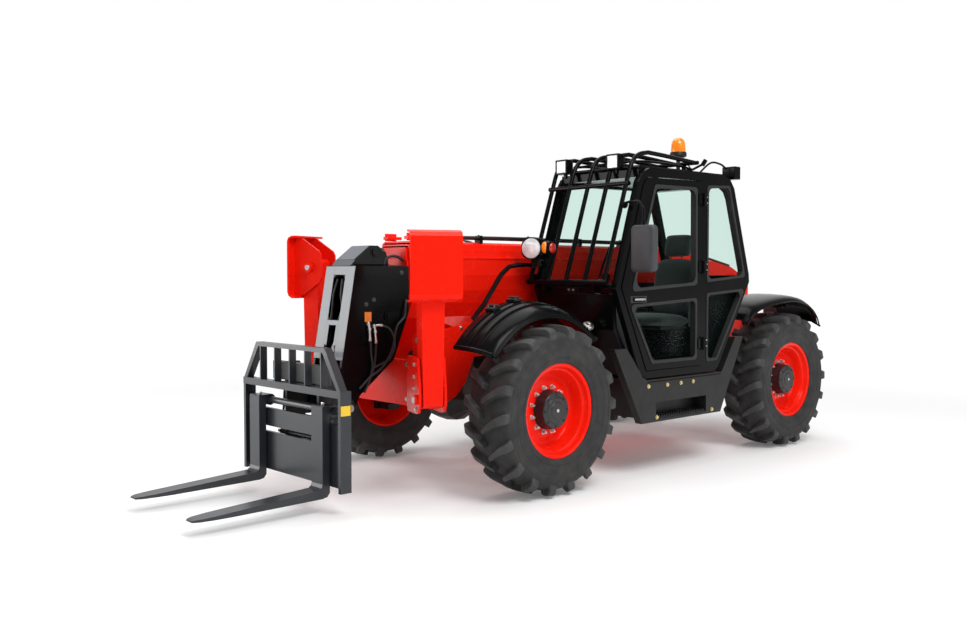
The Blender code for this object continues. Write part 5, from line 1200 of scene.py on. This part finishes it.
# ================================================================ engine side and rear
eh = Piece("hood_louvres", "blacksat", "engine_hood", "black_paint", bevel=0.0012)
for i in range(9):
    z = 1.02 + i * 0.024
    eh.box(P(-1.1285, 0.18, z), P(-1.1195, 0.62, z + 0.012))
eh.box(P(-1.1225, 0.165, 1.005), P(-1.1198, 0.635, 1.235))
for i in range(7):
    x = -0.92 + i * 0.075
    eh.box(P(x, 0.7648, 1.03), P(x + 0.045, 0.7685, 1.26))
for y in (-0.45, 0.05):
    eh.box(P(-1.128, y - 0.05, 1.06), P(-1.1195, y + 0.05, 1.10))
    eh.cyl(P(-1.1195, y, 1.08), P(-1.131, y, 1.08), 0.016, 20)
eh.done()
hx = Piece("hood_hinges", "black", "engine_hood", "black_paint", bevel=0.0012)
for y in (-0.5, 0.0, 0.5):
    hx.box(P(-0.42, y - 0.04, 1.3915), P(-0.34, y + 0.04, 1.3985))
hx.done()
ex = Piece("exhaust_stack", "blacksat", "chassis", "black_paint", smooth=40)
ex.tube(bez([P(-0.62, 0.78, 1.16), P(-0.62, 0.83, 1.18), P(-0.62, 0.845, 1.26), P(-0.62, 0.845, 1.60)], 8), 0.034, 20)
ex.cyl(P(-0.62, 0.845, 1.30), P(-0.62, 0.845, 1.52), 0.052, 28)
ex.tube([P(-0.62, 0.84, 1.60), P(-0.62, 0.85, 1.66), P(-0.62, 0.89, 1.70)], 0.034, 20)
ex.box(P(-0.70, 0.768, 1.10), P(-0.54, 0.79, 1.24))
ex.done()
tl = Piece("tail_lamp_housings", "plastic", "chassis", "black_plastic", bevel=0.004)
tr2 = Piece("tail_lamps_red", "redlens", "chassis", "amber_lens", bevel=0.003)
ta2 = Piece("tail_lamps_amber", "amber", "chassis", "amber_lens", bevel=0.003)
for sx in (1, -1):
    tl.box(P(min(sx * 0.42, sx * 0.60), 2.2205, 1.1305), P(max(sx * 0.42, sx * 0.60), 2.2505, 1.215))
    tl.box(P(min(sx * 0.47, sx * 0.55), 2.19, 1.122), P(max(sx * 0.47, sx * 0.55), 2.222, 1.16))
    tr2.box(P(min(sx * 0.43, sx * 0.505), 2.2503, 1.142), P(max(sx * 0.43, sx * 0.505), 2.258, 1.204))
    ta2.box(P(min(sx * 0.51, sx * 0.59), 2.2503, 1.142), P(max(sx * 0.51, sx * 0.59), 2.258, 1.204))
tl.done(); tr2.done(); ta2.done()
hi_ = Piece("rear_hitch", "blacksat", "chassis", "black_paint", bevel=0.002, smooth=40)
hi_.cyl(P(0.0, 2.232, 0.560), P(0.0, 2.232, 0.6195), 0.022, 20)
hi_.box(P(-0.07, 2.1825, 0.596), P(0.07, 2.255, 0.6195))
hi_.done()
cwb = Piece("counterweight_bolts", "steel", "chassis", "chrome", bevel=0.0008)
for x in (-0.50, -0.20, 0.20, 0.50):
    for z in (0.64,):
        cwb.bolt(P(x, 2.236, z + 0.001), (0, 0.8, -0.6), 0.012, 0.008)
cwb.done()

# ================================================================ running gear
dr = Piece("drive_shafts", "blacksat", "chassis", "black_paint", smooth=40)
dr.cyl(P(0, -1.30, 0.585), P(0, -1.03, 0.60), 0.032, 20)
dr.cyl(P(0, 1.30, 0.585), P(0, 1.10, 0.60), 0.032, 20)
for sy in (-1, 1):
    for sx in (-1, 1):
        dr.cyl(P(sx * 0.12, sy * 1.5 + (-0.125 if sy < 0 else 0.125) * -1.0, 0.60), P(sx * 0.60, sy * 1.5 + 0.115 * (1 if sy < 0 else -1), 0.60), 0.020, 14)
        dr.cyl(P(sx * 0.12, sy * 1.5 + 0.125 * (1 if sy < 0 else -1), 0.60), P(0.0, sy * 1.5 + 0.125 * (1 if sy < 0 else -1), 0.60), 0.030, 18)
dr.done()
lh = Piece("lift_cylinder_lines", "hose", "lift_barrel", "black_paint", smooth=60)
lb0, lb1 = P(0.0, 1.75, 0.88), P(0.0, 0.55, 1.145)
dl = (lb1 - lb0).normalized()
nl = Vector((0, dl.z, -dl.y)) if dl.y > 0 else Vector((0, -dl.z, dl.y))
if nl.z < 0:
    nl = -nl
lh.tube([lb0 + dl * 0.10 + nl * 0.088 + Vector((0.03, 0, 0)), lb0 + dl * 0.55 + nl * 0.090 + Vector((0.03, 0, 0)), lb0 + dl * 0.98 + nl * 0.088 + Vector((0.03, 0, 0))], 0.008, 10)
lh.done()


# ================================================================ stage, light, camera
def stage():
    bm = bmesh.new()
    R = 40.0
    v = [bm.verts.new((x, y, -0.0005)) for x, y in ((-R, -R), (R, -R), (R, R), (-R, R))]
    bm.faces.new(v)
    me = bpy.data.meshes.new("floor")
    bm.to_mesh(me); bm.free()
    o = bpy.data.objects.new("floor", me)
    COL.objects.link(o)
    m = bpy.data.materials.new("pale_floor")
    m.use_nodes = True
    b = m.node_tree.nodes["Principled BSDF"]
    b.inputs["Roughness"].default_value = 0.85
    N, L = m.node_tree.nodes, m.node_tree.links
    tc = N.new("ShaderNodeTexCoord")
    ln = N.new("ShaderNodeVectorMath"); ln.operation = 'LENGTH'
    L.new(tc.outputs["Object"], ln.inputs[0])
    fade = N.new("ShaderNodeMapRange"); fade.interpolation_type = 'SMOOTHSTEP'
    fade.inputs["From Min"].default_value = 3.6; fade.inputs["From Max"].default_value = 8.5
    L.new(ln.outputs["Value"], fade.inputs["Value"])
    rp = N.new("ShaderNodeValToRGB")
    rp.color_ramp.elements[0].color = (0.93, 0.93, 0.93, 1); rp.color_ramp.elements[1].color = (0.0, 0.0, 0.0, 1)
    L.new(fade.outputs[0], rp.inputs["Fac"]); L.new(rp.outputs["Color"], b.inputs["Base Color"])
    b.inputs["Emission Color"].default_value = (1.0, 1.0, 1.0, 1)
    # floor emission of at least 0.10 near the machine: a painted glow that lightens the shadows under it; it rises to
    # full white towards the backdrop
    es = N.new("ShaderNodeMapRange"); es.inputs["To Min"].default_value = 0.10
    L.new(fade.outputs[0], es.inputs["Value"]); L.new(es.outputs[0], b.inputs["Emission Strength"])
    b.inputs["Specular IOR Level"].default_value = 0.1
    me.materials.append(m)


stage()
w = bpy.context.scene.world or bpy.data.worlds.new("World")
bpy.context.scene.world = w
w.use_nodes = True
wn, wl = w.node_tree.nodes, w.node_tree.links
bg = wn["Background"]
wtc = wn.new("ShaderNodeTexCoord")
wdot = wn.new("ShaderNodeVectorMath"); wdot.operation = 'DOT_PRODUCT'; wdot.inputs[1].default_value = (-0.739, 0.673, 0.0)
wl.new(wtc.outputs["Generated"], wdot.inputs[0])
wmr = wn.new("ShaderNodeMapRange"); wmr.interpolation_type = 'SMOOTHSTEP'
wmr.inputs["From Min"].default_value = 0.45; wmr.inputs["From Max"].default_value = 0.82
wmr.inputs["To Min"].default_value = 0.36; wmr.inputs["To Max"].default_value = 1.0
wl.new(wdot.outputs["Value"], wmr.inputs["Value"])
wl.new(wmr.outputs[0], bg.inputs[1])
bg.inputs[0].default_value = (1.0, 1.0, 1.0, 1)


def area(name, loc, target, size, power, size_y=None, col=(1, 1, 1)):
    l = bpy.data.lights.new(name, 'AREA')
    l.energy = power
    l.size = size
    l.color = col
    if size_y:
        l.shape = 'RECTANGLE'
        l.size_y = size_y
    o = bpy.data.objects.new(name, l)
    COL.objects.link(o)
    o.location = loc
    o.rotation_euler = (Vector(target) - Vector(loc)).to_track_quat('-Z', 'Y').to_euler()
    return o


area("key", (6.0, -1.5, 7.5), (0, 0, 0.8), 4.0, 480, 4.0)
area("top", (-1.0, 0.5, 8.5), (0, 0, 1), 7.0, 330, 7.0)
area("front_soft", (-5.8, -6.6, 2.6), (0, -1.5, 1.1), 4.0, 300, 4.6)
area("side_fill", (9.0, 3.5, 3.0), (0, 0.5, 1.2), 4.0, 90, 3.0)

cam = bpy.data.cameras.new("cam")
co = bpy.data.objects.new("cam", cam)
COL.objects.link(co)
cam.sensor_width = 36.0
cam.lens = 36.37
cam.clip_end = 200
co.location = (5.738, -5.588, 1.536)
co.rotation_euler = (rad(90 - 2.05), 0, rad(47.68))
bpy.context.scene.camera = co
bpy.context.scene.view_settings.view_transform = 'Standard'
